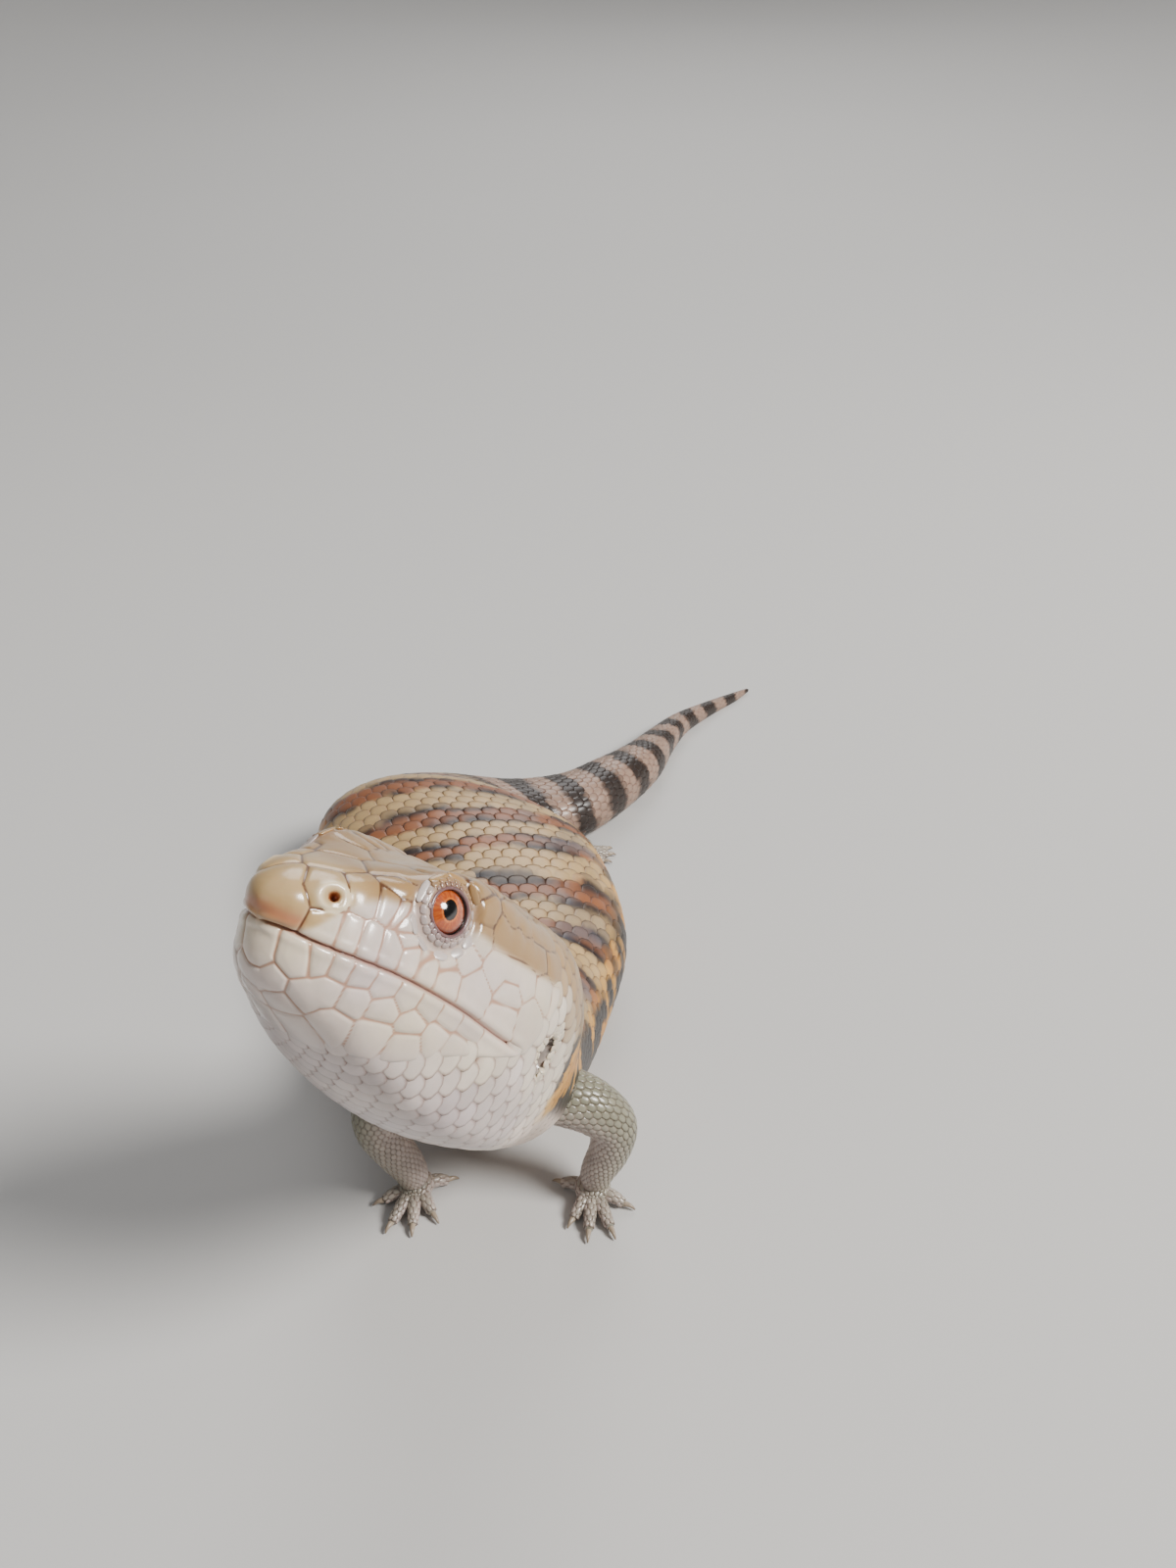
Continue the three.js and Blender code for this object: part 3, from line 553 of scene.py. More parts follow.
# painted shade on the limbs' skin between their scales
PAINTED_LIMB_SHADE = 0.9

BAND_PERIOD = 10.5
RING_PERIOD = 8.6
MARKING_CELLS = 36           # round the body, the measure of the markings' noise
TAN_LINE = curve_through([-4, 4, 12, 20, 24, 28, 30.5, 33], [5.4, 5.7, 6.3, 7.2, 6.6, 4.6, 1.4, 0.8])


def plain(color, like):
    """One colour at every place of like."""
    return np.broadcast_to(color, np.shape(like) + (3,))


def blend_colors(base, *layers):
    """The base colour under layers of (colour, how much of it shows)."""
    for color, share in layers:
        base = tint(base, color, share)
    return base


def back_colors(s, cell, down, wobble):
    """Rust and pale bands with broken dark edges, clouded with slate, and where the pale bands are."""
    from_middle = np.abs(np.mod(s / BAND_PERIOD + wobble, 1) - 0.5)
    pale = ramp(from_middle, 0.30, -0.05)
    edge = bell(from_middle, 0.29, 0.07) * ramp(noise(s / 3 + 9, cell / 1.6), 0.36, 0.12)
    slate = ramp(noise(s / 5 + 70, cell / 3), 0.62, 0.12) * (1 - pale * 0.6) * ramp(down, 0.12, 0.15)
    color = blend_colors(plain(RUST_BAND, s), (PALE_BAND, pale), (BAND_EDGE, edge), (SLATE, slate * 0.6))
    return color, pale


def body_colors(s, share):
    """Markings of neck, body and tail: bands on the back, blotched flanks and a pale belly."""
    s, share = np.broadcast_arrays(np.asarray(s, float), np.asarray(share, float))
    down = 2 * np.minimum(np.mod(share, 1), 1 - np.mod(share, 1))
    cell = share * MARKING_CELLS
    wobble = (noise(s / 12, cell / 6) - 0.5) * 0.45 + (noise(s / 2.2 + 40, cell / 1.1) - 0.5) * 0.17
    color, pale = back_colors(s, cell, down, wobble)
    flank = ramp(down, 0.36, 0.10) * ramp(down, 0.72, -0.06)
    spots = noise(s / 3.6 + 20, cell / 3.0 + 5) * 0.6 + noise(s / 1.6 + 3, cell / 1.4) * 0.4
    blotch = ramp(spots, 0.50 - 0.07 * (1 - pale), 0.05)
    belly = ramp(down, 0.66 + 0.06 * (noise(s / 3.5 + 50, cell / 3) - 0.5), 0.06)
    color = blend_colors(color, (YELLOW, flank * 0.8), (BLACK_BLOTCH, flank * blotch * 0.95), (BELLY, belly))
    ring = ramp(np.abs(np.mod(s / RING_PERIOD + wobble * 0.7, 1) - 0.5), 0.22, 0.06)
    tail = tint(plain(TAIL_PALE, s), TAIL_DARK, ring)
    side = ramp(down, 0.36, 0.12)
    neck = blend_colors(plain(TAN, s), (CREAM, side), (LILAC, side * 0.5 * noise(s / 7, cell / 6)))
    neck_end = 3 * (0.5 - noise(s / 3, cell / 2)) + 6
    color = blend_colors(color, (tail, ramp(s, TAIL_START - 6, 12)), (neck, ramp(s, neck_end, -3)))
    return tint(color, BELLY, ramp(s, 32, -10) * ramp(down, 0.60, 0.1))


def head_colors(p, softness=1.0):
    """Markings of the head at points of its own frame. The crown's tan ends over softness millimetres."""
    x, z = p[..., 0], p[..., 2]
    crown = tint(plain(TAN, x), SNOUT_TAN, ramp(x, 25, 4))
    side = blend_colors(plain(CREAM, x), (LILAC, 0.75 * noise(x / 5, z / 4)), (CHIN, 0.7 * ramp(z, -2, -6)))
    rust = bell(z, 1.9, 0.55) * ramp(x, 30.2, 0.9) * ramp(z, 1.0, 0.3)
    on_crown = smooth((z - TAN_LINE(x)) / softness + 0.5)
    return blend_colors(side, (crown, on_crown), (LIP_RUST, rust * 0.7))


def limb_colors(along_share, outward):
    """Olive on the outer side of a limb and pale on its inner side."""
    return blend_colors(plain(LIMB_OLIVE, outward), (LIMB_PALE, smooth(0.5 - outward * 0.8)),
                        (LIMB_PALE, 0.25 * along_share))


# Meshes
def add_object(name, data):
    made = bpy.data.objects.new(name, data)
    bpy.context.scene.collection.objects.link(made)
    return made


class Part:
    """Points, faces and what they carry, gathered into one mesh."""

    def __init__(self):
        self.points, self.colors, self.lines, self.seams = [], [], [], []
        self.faces, self.corners = [], []
        self.count = 0

    def add(self, points, faces, corners, colors, lines=None, seams=None):
        """faces is a list of index arrays (n, 3 or 4), corners their corners' places on the unwrap."""
        points = points.reshape(-1, 3)
        self.points.append(points)
        self.colors.append(colors)
        self.lines.append(colors if lines is None else lines)
        self.seams.append(np.full(len(points), NO_SEAM) if seams is None else seams.reshape(-1))
        for face, corner in zip(faces, corners):
            self.faces.append(face + self.count)
            self.corners.append(corner)
        self.count += len(points)

    def build(self, name, material, slot, *nodes):
        points = np.concatenate(self.points)
        points[:, 2] = np.maximum(points[:, 2], FLOOR_CLEARANCE)
        mesh = bpy.data.meshes.new(name)
        faces = [face for group in self.faces for face in group.tolist()]
        mesh.from_pydata((points * MM).tolist(), [], faces)
        for label, rows in (("MarkingsAndPaintedShade", self.colors), ("Lines", self.lines)):
            values = np.ones((len(points), 4))
            values[:, :3] = linear(np.concatenate(rows))
            layer = mesh.color_attributes.new(label, "FLOAT_COLOR", "POINT")
            layer.data.foreach_set("color", values.ravel())
        seams = mesh.attributes.new("Seam", "FLOAT", "POINT")
        seams.data.foreach_set("value", np.concatenate(self.seams))
        places = np.concatenate([corner.reshape(-1, 2) for corner in self.corners])
        mesh.uv_layers.new(name="OFBake").data.foreach_set("uv", places.ravel())
        mesh.polygons.foreach_set("use_smooth", [True] * len(mesh.polygons))
        mesh.materials.append(material)
        piece = add_object(name, mesh)
        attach(piece, "root")
        if nodes:
            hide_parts(*nodes)


def grid_faces(rows, columns, u, v):
    """Faces of a closed tube of rows and columns, with its place on the unwrap: u has one value more
    than there are columns."""
    i, j = np.meshgrid(np.arange(rows - 1), np.arange(columns), indexing="ij")
    nxt = (j + 1) % columns
    faces = np.stack([i * columns + j, i * columns + nxt, (i + 1) * columns + nxt, (i + 1) * columns + j], -1)
    corners = np.stack([np.stack([u[j + a], v[i + b]], -1) for a, b in ((0, 0), (1, 0), (1, 1), (0, 1))], 2)
    return faces.reshape(-1, 4), corners.reshape(-1, 4, 2)


def add_tube(part, points, u, v, colors, lines=None, seams=None, inward=False):
    """A closed tube with both ends capped by a fan. u and v are its columns' and rows' places on the
    unwrap."""
    rows, columns = points.shape[:2]
    count, last_row = rows * columns, (rows - 1) * columns
    faces, corners = grid_faces(rows, columns, u, v)
    j = np.arange(columns)
    nxt = (j + 1) % columns
    first = np.stack([nxt, j, np.full(columns, count)], -1)
    last = np.stack([last_row + j, last_row + nxt, np.full(columns, count + 1)], -1)
    if inward:
        faces, first, last = faces[:, ::-1], first[:, ::-1], last[:, ::-1]
        corners = corners[:, ::-1]

    def fan(edge):
        across = np.stack([u[:-1], u[1:], (u[:-1] + u[1:]) / 2], 1)
        return np.stack([across, np.full(across.shape, edge)], -1)

    def with_ends(values, width):
        """Values of the tube's points, then of the middles of its ends."""
        if values is None:
            return None
        values = np.asarray(values).reshape(count, width)
        return np.concatenate([values, values[[0, last_row]]])

    middles = np.stack([points[0].mean(0), points[-1].mean(0)])
    part.add(np.concatenate([points.reshape(-1, 3), middles]), [faces, first, last],
             [corners, fan(v[0]), fan(v[-1])], with_ends(colors, 3), with_ends(lines, 3), with_ends(seams, 1))


# Where each surface lies on the unwrap
def unwrap_body(s, share):
    v = (np.asarray(s) - UNWRAP_BODY_START) / UNWRAP_BODY_LENGTH
    return np.stack(np.broadcast_arrays(UNWRAP_EDGE + UNWRAP_BODY[0] * np.asarray(share),
                                        UNWRAP_EDGE + UNWRAP_BODY[1] * v), -1)


def unwrap_limb(number, stretch, along_share, share):
    """stretch is where a surface begins and ends on the limb's own part of the unwrap."""
    along = stretch[0] + (stretch[1] - stretch[0]) * np.asarray(along_share)
    return np.stack(np.broadcast_arrays(
        UNWRAP_EDGE + UNWRAP_LIMB_PITCH * number + UNWRAP_LIMB[0] * along,
        UNWRAP_LIMB_START + UNWRAP_LIMB[1] * np.asarray(share)), -1)


def scale_outline(sides, rings):
    """The points of a scale's top, then those of its underside: u towards its rear and t across it, from
    -1 to 1, how far out each lies, and which are below."""
    rim_u, rim_t = (bulge(wave(turns(sides)), 2 / SCALE_SQUARENESS) for wave in (np.cos, np.sin))
    u, t = (np.concatenate([[0], *[r * rim for r in rings], 0.97 * rim, [0]]) for rim in (rim_u, rim_t))
    out = np.concatenate([[0], *[np.full(sides, r) for r in rings], np.ones(sides), [0]])
    return u, t, out, np.arange(len(u)) > len(rings) * sides


def scale_faces(sides, ring_count):
    """The triangles in the middle of a scale's top and underside, and the quads between its rings."""
    k = np.arange(sides)
    nxt = (k + 1) % sides
    base = 1 + ring_count * sides
    fan = np.stack([np.zeros(sides, int), 1 + k, 1 + nxt], -1)
    closing = np.stack([base + nxt, base + k, np.full(sides, base + sides)], -1)
    bands = [np.stack([r + k, r + sides + k, r + sides + nxt, r + nxt], -1) for r in range(1, base, sides)]
    return np.concatenate([fan, closing]), np.concatenate(bands)


def add_scales(part, surface, along, share, length, width, colors, places, color_at=None, lift=0.2, dome=0.09,
               thickness=0.13, depth=SKIN_DEPTH, sides=12, rings=(0.5, 0.82, 1.0), rim=0.70):
    """Overlapping scales, one closed plate each. length and width are in the surface's own measures, and
    each plate's rear edge stands over the front of the ones behind it."""
    u, t, out, below = scale_outline(sides, rings)
    height = -depth + 0.06 + lift * smooth((u + 1) / 2) + dome * (1 - t * t) * (1 - u * u * 0.6)
    height = height - 0.05 * (out > 0.99) - thickness * below
    a = along[:, None] + u * length[:, None] / 2
    f = share[:, None] + t * width / 2
    points, normals = surface.sample(a, f)
    points = points + normals * height[:, None]
    # Painted shade over each scale: a darker rim (partly the scales' own darker edges), a darker front under
    # the scale before it and a slightly lighter middle
    shade = np.select([out > 0.99, out > 0.9, out > 0.75], [rim, 0.45 + rim / 2, 0.96], 1.03)
    shade = shade * (1 - 0.10 * ramp(u, -0.1, -0.6))
    colors = colors[:, None, :]
    if color_at is not None:
        colors = tint(colors, color_at(a, f), CROSSING_SHARE)
    tints = np.clip(colors * shade[:, None] ** SHADE_WARMTH, 0, 1)
    patch = places[:, None, :] + np.stack([t, u], -1) * (UNWRAP_PATCH / 2)
    first_points = (np.arange(len(along)) * len(u))[:, None, None]
    faces = scale_faces(sides, len(rings))
    part.add(points, [(face + first_points).reshape(-1, face.shape[1]) for face in faces],
             [patch[:, face].reshape(-1, face.shape[1], 2) for face in faces], tints.reshape(-1, 3))


# Materials
SEAM_FROM, SEAM_TO = 0.03, 0.17    # a seam's colour fades out between these distances from its middle
MOTTLE_SCALE = 900
BUMP_STRENGTH = 0.26


def add_node(nodes, kind, settings=(), values=()):
    """A node of a material, with its settings and the values of its inputs."""
    made = nodes.new("ShaderNode" + kind)
    for name, value in settings:
        setattr(made, name, value)
    for name, value in values:
        made.inputs[name].default_value = value
    return made


def material(name, roughness, grain, coat=0.0, subsurface=0.0, grain_depth=0.03, mottling=0.10,
             coat_roughness=0.15, specular=0.5):
    """Markings and painted shade from the mesh, with fine mottling, seam lines and a fine grain."""
    made = bpy.data.materials.new(name)
    made.use_nodes = True
    nodes, links = made.node_tree.nodes, made.node_tree.links
    shader = nodes["Principled BSDF"]
    # the mesh's colours: markings with painted shade
    markings = add_node(nodes, "VertexColor", [("layer_name", "MarkingsAndPaintedShade")])
    line_color = add_node(nodes, "VertexColor", [("layer_name", "Lines")])
    seam = add_node(nodes, "Attribute", [("attribute_name", "Seam")])
    off_seam = add_node(nodes, "MapRange", [("interpolation_type", "SMOOTHSTEP")],
                        [("From Min", SEAM_FROM), ("From Max", SEAM_TO)])
    lined = add_node(nodes, "Mix", [("data_type", "RGBA")])
    place = add_node(nodes, "TexCoord")
    fine = add_node(nodes, "TexNoise", values=[("Scale", grain), ("Detail", 4)])
    mottle = add_node(nodes, "TexNoise", values=[("Scale", MOTTLE_SCALE), ("Detail", 3)])
    tone = add_node(nodes, "MapRange", values=[("To Min", 1 - mottling), ("To Max", 1 + mottling)])
    toned = add_node(nodes, "VectorMath", [("operation", "SCALE")])
    shine = add_node(nodes, "MapRange", values=[("To Min", roughness - 0.06), ("To Max", roughness + 0.08)])
    bump = add_node(nodes, "Bump", values=[("Strength", BUMP_STRENGTH), ("Distance", grain_depth * MM)])
    for source, output, target, socket in (
            (place, "Object", fine, "Vector"), (place, "Object", mottle, "Vector"),
            (seam, "Fac", off_seam, "Value"), (off_seam, "Result", lined, "Factor"),
            (line_color, "Color", lined, "A"), (markings, "Color", lined, "B"),
            (mottle, "Fac", tone, "Value"), (lined, "Result", toned, 0), (tone, "Result", toned, "Scale"),
            (toned, "Vector", shader, "Base Color"), (fine, "Fac", shine, "Value"),
            (shine, "Result", shader, "Roughness"), (fine, "Fac", bump, "Height"),
            (bump, "Normal", shader, "Normal")):
        links.new(source.outputs[output], target.inputs[socket])
    for socket, value in (("Specular IOR Level", specular), ("Coat Weight", coat),
                          ("Coat Roughness", coat_roughness), ("Subsurface Weight", subsurface),
                          ("Subsurface Radius", (1.0, 0.5, 0.35)), ("Subsurface Scale", 0.8 * MM)):
        shader.inputs[socket].default_value = value
    return made


skin_material = material("skin", 0.30, coat=0.6, subsurface=0.15, grain=2600, mottling=0.07)
scale_material = material("scales", 0.38, coat=0.12, subsurface=0.05, grain=2200, mottling=0.12,
                          specular=0.38)
head_scale_material = material("head_scales", 0.32, coat=0.35, subsurface=0.1, grain=2400)
limb_material = material("limb_scales", 0.30, coat=0.25, subsurface=0.05, grain=2600)
claw_material = material("claws", 0.30, grain=3000, grain_depth=0.02)
eye_material = material("eyes", 0.12, coat=1.0, grain=5000, grain_depth=0.002, coat_roughness=0.02)


# Head skin: shields, lips, lids, nostrils and ears in its own surface
def side_frame(at, aim, side):
    """A frame on the head for a feature: its middle, its aim, and two directions across."""
    mirror = np.array([1, side, 1])
    aim = unit(np.array(aim) * mirror)
    along = unit(np.array([1.0, 0, 0]) - aim * aim[0])
    return np.array(at) * mirror, aim, along, np.cross(aim, along)


def shield_middles():
    """The middles of the shields: place, number of the shield, and whether it is below the mouth."""
    found = []
    for number, places in enumerate(places for group in SHIELDS.values() for places in group):
        whole_shield = any(v in (0, CHIN_LINE) for _, v in places)
        for q, v in places:
            for side in ((v,) if v in (0, CHIN_LINE) else (v, HEAD_LINES - v)):
                owner = 2 * number + (side > CHIN_LINE and not whole_shield)
                found.append((head_point(q, side), owner, v > MOUTH_LINE))
    for side in (1, -1):
        at, aim, along, across = side_frame(EYE_AT, EYE_AIM, side)
        for k in range(EYE_RING_SHIELDS):
            turn = 2 * math.pi * (k + 0.5) / EYE_RING_SHIELDS
            outwards = math.cos(turn) * along + math.sin(turn) * across
            found.append((at + aim * EYE_RING_HEIGHT + EYE_RING_RADIUS * outwards,
                          1000 + k + 100 * (side < 0), False))
    return (np.array(values) for values in zip(*found))


def shield_distances(p, rounds):
    """How far each point lies from the nearest seam between shields, with each point's shield."""
    middles, owners, lower = shield_middles()
    nearest = np.empty((len(np.unique(owners)), len(p)))
    in_mouth = p[:, 0] > MOUTH_CORNER
    below = (np.minimum(rounds, HEAD_LINES - rounds) > MOUTH_LINE) & in_mouth
    above = ~below & in_mouth
    for number, owner in enumerate(np.unique(owners)):
        mine = np.flatnonzero(owners == owner)
        distance = np.min([np.linalg.norm(p - middles[k], axis=1) for k in mine], axis=0)
        nearest[number] = np.where(above if lower[mine[0]] else below, 1e6, distance)
    first, second = np.sort(nearest, axis=0)[:2]
    return (second - first) / 2, np.argmin(nearest, axis=0)


def scales_start(rounds):
    return np.interp(np.minimum(rounds, HEAD_LINES - rounds), SCALES_FROM_ROUND, SCALES_FROM_X)


def head_skin():
    """Points, colours, seam colours and seam distances of the head's skin, on its grid."""
    q = np.linspace(SNOUT_BACKNESS, LAST_BACKNESS, HEAD_ROWS)
    v = np.linspace(0, HEAD_LINES, HEAD_COLUMNS + 1)[:-1]
    qq, vv = np.meshgrid(q, v, indexing="ij")
    local = head_point(qq, vv)
    p, n, rounds = local.reshape(-1, 3), Surface(q, local).normals.reshape(-1, 3), vv.reshape(-1)
    seam, shield = shield_distances(p, rounds)
    shielded = ramp(p[:, 0], scales_start(rounds) - 1.2, 1.2)
    shield_height = SHIELD_SWELL * smooth(seam / SHIELD_ROUNDING) - SEAM_DEPTH * bell(seam, 0, SEAM_HALF)
    lip_line = head_point(qq.reshape(-1), np.where(rounds > CHIN_LINE, HEAD_LINES - MOUTH_LINE, MOUTH_LINE))
    from_lips = np.linalg.norm(p - lip_line, axis=1)
    opening = ramp(p[:, 0], MOUTH_CORNER - 0.8, 1.6)
    slit = opening * bell(from_lips, 0, MOUTH_HALF)
    height = mix(-SKIN_DEPTH, shield_height, shielded)
    height += opening * LIP_SWELL * bell(from_lips, LIP_AT, LIP_HALF) - MOUTH_DEPTH * slit
    moved = p + n * height[:, None]
    tone = random.normal(0, 0.016, shield.max() + 1)[shield]
    colors = np.clip(head_colors(p) * (1 + tone[:, None]), 0, 1)
    on_crown = smooth(p[:, 2] - TAN_LINE(p[:, 0]) + 0.5)
    lines = colors * tint(SEAM_ON_SIDE, SEAM_ON_CROWN, on_crown)
    seam = np.where((shielded > 0.5) & (slit <= 0.3), seam, NO_SEAM)
    colors = tint(colors, MOUTH, slit)
    # painted shade on the skin under the overlapping scales, where no shield lies
    colors = tint(colors * PAINTED_SKIN_SHADE, colors, shielded)
    for side in (1, -1):
        for shape in (shape_eye, shape_nostril, shape_ear):
            moved, colors, seam = shape(moved, colors, seam, side)
    return moved, colors, lines, seam


def shape_eye(p, colors, seam, side):
    """Lids that stand out round the eye's opening."""
    at, aim, along, across = side_frame(EYE_AT, EYE_AIM, side)
    offset = p - at
    height = offset @ aim
    spread = np.hypot(offset @ along / LID_LENGTHENING, offset @ across)
    near = (height > 0.2) & (spread < LID_REACH)
    lid = np.interp(spread, LID_SPREADS, LID_HEIGHTS)
    share = near * ramp(spread, LID_REACH, -1.3)
    share = np.where(spread > 2.3, share * ramp(np.abs(lid - height), 1.7, -0.9), share)
    p = p + aim * (share * (lid - height))[:, None]
    # The lids' rim takes their own purplish colour; farther out, the skin between the lid scales gets painted
    # shade
    rim = near * ramp(spread, 2.6, -0.6)
    gaps = near * ramp(spread, 4.2, -0.6) * share
    colors = tint(colors, LID_RIM_AND_GAP_SHADE, np.maximum(rim * 0.75, gaps * 0.55))
    return p, colors, np.where(near & (spread < 3.4), NO_SEAM, seam)


def shape_nostril(p, colors, seam, side):
    """A pit with a raised, paler rim, its middle painted dark with shade."""
    at, aim, along, across = side_frame(NOSTRIL_AT, NOSTRIL_AIM, side)
    offset = p - at
    spread = np.hypot(offset @ along * 0.9, offset @ across)
    near = (offset @ aim > -1.6) & (spread < 2.2)
    rim = near * bell(spread, NOSTRIL_RIM_RADIUS, 0.32)
    pit = near * ramp(spread, NOSTRIL_RADIUS + 0.12, -0.30)
    wall = near * ramp(spread, NOSTRIL_RADIUS + 0.18, -0.30)
    middle = near * ramp(spread, 0.25, -0.25)
    p = p + aim * (NOSTRIL_RIM_HEIGHT * rim - NOSTRIL_DEPTH * pit)[:, None]
    # the pit's middle is painted dark with shade
    colors = blend_colors(colors, (NOSTRIL_RIM, rim * 0.8), (NOSTRIL_WALL, wall * 0.9),
                          (NOSTRIL_PAINTED_SHADE, middle * 0.8))
    return p, colors, np.where(near & (spread < 1.2), NO_SEAM, seam)


def shape_ear(p, colors, seam, side):
    """A pit, painted dark with shade."""
    offset = p - EAR_AT * np.array([1, side, 1])
    spread = np.hypot(offset[:, 0] / EAR_HALF[0], offset[:, 2] / EAR_HALF[1])
    pit = (offset[:, 1] * side > -3) * ramp(spread, 1.12, -0.25)
    p = p - np.array([0, side, 0]) * (EAR_DEPTH * pit)[:, None]
    # the ear's pit is painted dark with shade
    return p, tint(colors, EAR_PAINTED_SHADE, pit), np.where(pit > 0, NO_SEAM, seam)


whole = whole_surface()
skin = Part()
head_local, head_tints, head_lines, head_seams = head_skin()
head_world = from_head(head_local).reshape(HEAD_ROWS, HEAD_COLUMNS, 3)
head_rows = np.linspace(SNOUT_BACKNESS, LAST_BACKNESS, HEAD_ROWS) ** 2 - (HEAD_LENGTH - HEAD_BACK)
head_shares = np.linspace(0, 1, HEAD_COLUMNS + 1)
add_tube(skin, head_world, unwrap_body(0, head_shares)[:, 0], unwrap_body(head_rows, 0)[:, 1],
         head_tints, head_lines, head_seams, inward=True)

body_rows = np.linspace(-1.2, BODY_LENGTH, BODY_ROWS)
body_shares = np.linspace(0, 1, BODY_COLUMNS + 1)
body_points, body_normals = whole.sample(body_rows[:, None], body_shares[None, :-1])
body_sunk = np.where(body_rows < 0, SKIN_DEPTH + 0.15, np.minimum(SKIN_DEPTH, 0.45 * BODY[4](body_rows)))
body_points = body_points - body_normals * body_sunk[:, None, None]
# the body's skin carries painted shade between its scales
add_tube(skin, body_points, unwrap_body(0, body_shares)[:, 0], unwrap_body(body_rows, 0)[:, 1],
         body_colors(body_rows[:, None], body_shares[None, :-1]) * PAINTED_SKIN_SHADE, inward=True)


def foot_of(limb_name):
    return limb_name.replace("leg", "foot")


def limb_surfaces(limb):
    """The limb as a tube, then its palm, then each toe with its last joint and its heading."""
    x, y, z = limb["palm"]
    arm = tube(limb["joints"] + [(x, y, z + 0.3, limb["joints"][-1][3] * 0.8)], 60, 48)
    palm = ball(limb["palm"], limb["half"], limb["turn"], 30, 40)
    knuckle = limb["half"][1] * TOE_SPREAD
    toes = []
    for degrees, length in limb["toes"]:
        heading = np.array([math.sin(math.radians(degrees)), -math.cos(math.radians(degrees))])
        steps = [(0.4, 1.5, TOE_ROOT), (knuckle, 1.4, TOE_ROOT),
                 (knuckle + 0.55 * length, 1.2, (TOE_ROOT + TOE_TIP) / 2),
                 (knuckle + length, TOE_TIP + 0.05, TOE_TIP)]
        joints = [(*(heading * d + (x, y)), height, radius) for d, height, radius in steps]
        toes.append((tube(joints, 24, 20), np.array(joints[-1][:2]), heading))
    return arm, palm, toes


limbs = []
for number, (name, limb) in enumerate(LIMBS.items()):
    arm, palm, toes = limb_surfaces(limb)
    covers = [(arm, *ARM), (palm, *PALM)] + [(toe, *cover) for (toe, _, _), cover in zip(toes, TOES)]
    limbs.append((name, number, 1 if name.endswith("left") else -1, covers, toes))


def limb_tint(surface, side, paler, along, share):
    """Colour at places of a limb's surface: paler where it faces the body or the floor."""
    _, normals = surface.sample(along, share)
    outward = normals[..., 0] * side * 0.7 + normals[..., 2] * 0.6
    return tint(limb_colors(along / surface.along[-1], outward), LIMB_PALE, paler)


def add_limb_skin(number, side, surface, stretch, grid, sunk):
    along = np.linspace(0, surface.along[-1], grid[0])
    share = np.linspace(0, 1, grid[1] + 1)
    points, normals = surface.sample(along[:, None], share[None, :-1])
    u = unwrap_limb(number, stretch, 0, share)[:, 1]
    v = unwrap_limb(number, stretch, along / along[-1], 0)[:, 0]
    # painted shade on the limb's skin between its scales
    colors = limb_tint(surface, side, 0.0, along[:, None], share[None, :-1]) * PAINTED_LIMB_SHADE
    add_tube(skin, points - normals * sunk, u, v, colors, inward=True)


flesh = ["head", "neck", "torso_front", "torso_rear", "tail_base", "tail_middle", "tail_tip"]
for name, number, side, covers, _ in limbs:
    for surface, stretch, grid, *_, form in covers:
        add_limb_skin(number, side, surface, stretch, grid, form["depth"])
    flesh += [name + "_upper", name + "_lower", foot_of(name)]
skin.build("skin", skin_material, "body_skin", *flesh)


# Scales in staggered rows
def lay_scales(part, surface, start, end, columns, pitch_share, color_at, place, keep=None, jitter=0.05,
               crossing=False, **form):
    """Rows of scales from start to end, each pitch_share as long as it is wide and half a scale round from
    the one before it."""
    along, share, pitches = [], [], []
    s = start
    while s < end:
        pitch = surface.around_at(s) / columns * pitch_share
        share.append((np.arange(columns) + 0.5 * (len(along) % 2)) / columns)
        along.append(np.full(columns, s))
        pitches.append(np.full(columns, pitch))
        s += pitch
    along, share, pitches = np.concatenate(along), np.concatenate(share), np.concatenate(pitches)
    if keep is not None:
        kept = keep(along, share)
        along, share, pitches = along[kept], share[kept], pitches[kept]
    colors = color_at(along, share) * (1 + random.normal(0, jitter, len(along)))[:, None]
    add_scales(part, surface, along, share, SCALE_LENGTH * pitches, SCALE_WIDTH / columns, colors,
               place(along, share), color_at if crossing else None, **form)


def on_head(s, share):
    """The head's own round measure at places of the whole surface, and the places in its frame."""
    local = to_head(whole.sample(s, share)[0])
    rounds = np.linspace(0, HEAD_LINES, 97)[:-1]
    q = np.sqrt(np.clip(s + HEAD_LENGTH - HEAD_BACK, 0.1, LAST_BACKNESS ** 2))
    rings = head_point(q[:, None], rounds[None, :])
    return rounds[np.argmin(np.linalg.norm(rings - local[:, None], axis=2), axis=1)], local


def on_scaled_head(s, share):
    rounds, local = on_head(s, share)
    ear = np.hypot((local[:, 0] - EAR_AT[0]) / (EAR_HALF[0] + EAR_CLEAR),
                   (local[:, 2] - EAR_AT[2]) / (EAR_HALF[1] + EAR_CLEAR)) < 1
    ear &= np.abs(local[:, 1]) > 8
    return (local[:, 0] < scales_start(rounds) + 0.5) & ~ear


def throat_colors(s, share):
    _, local = on_head(s, share)
    return tint(head_colors(local, 3.2), body_colors(s, share), ramp(s, -3, 3))


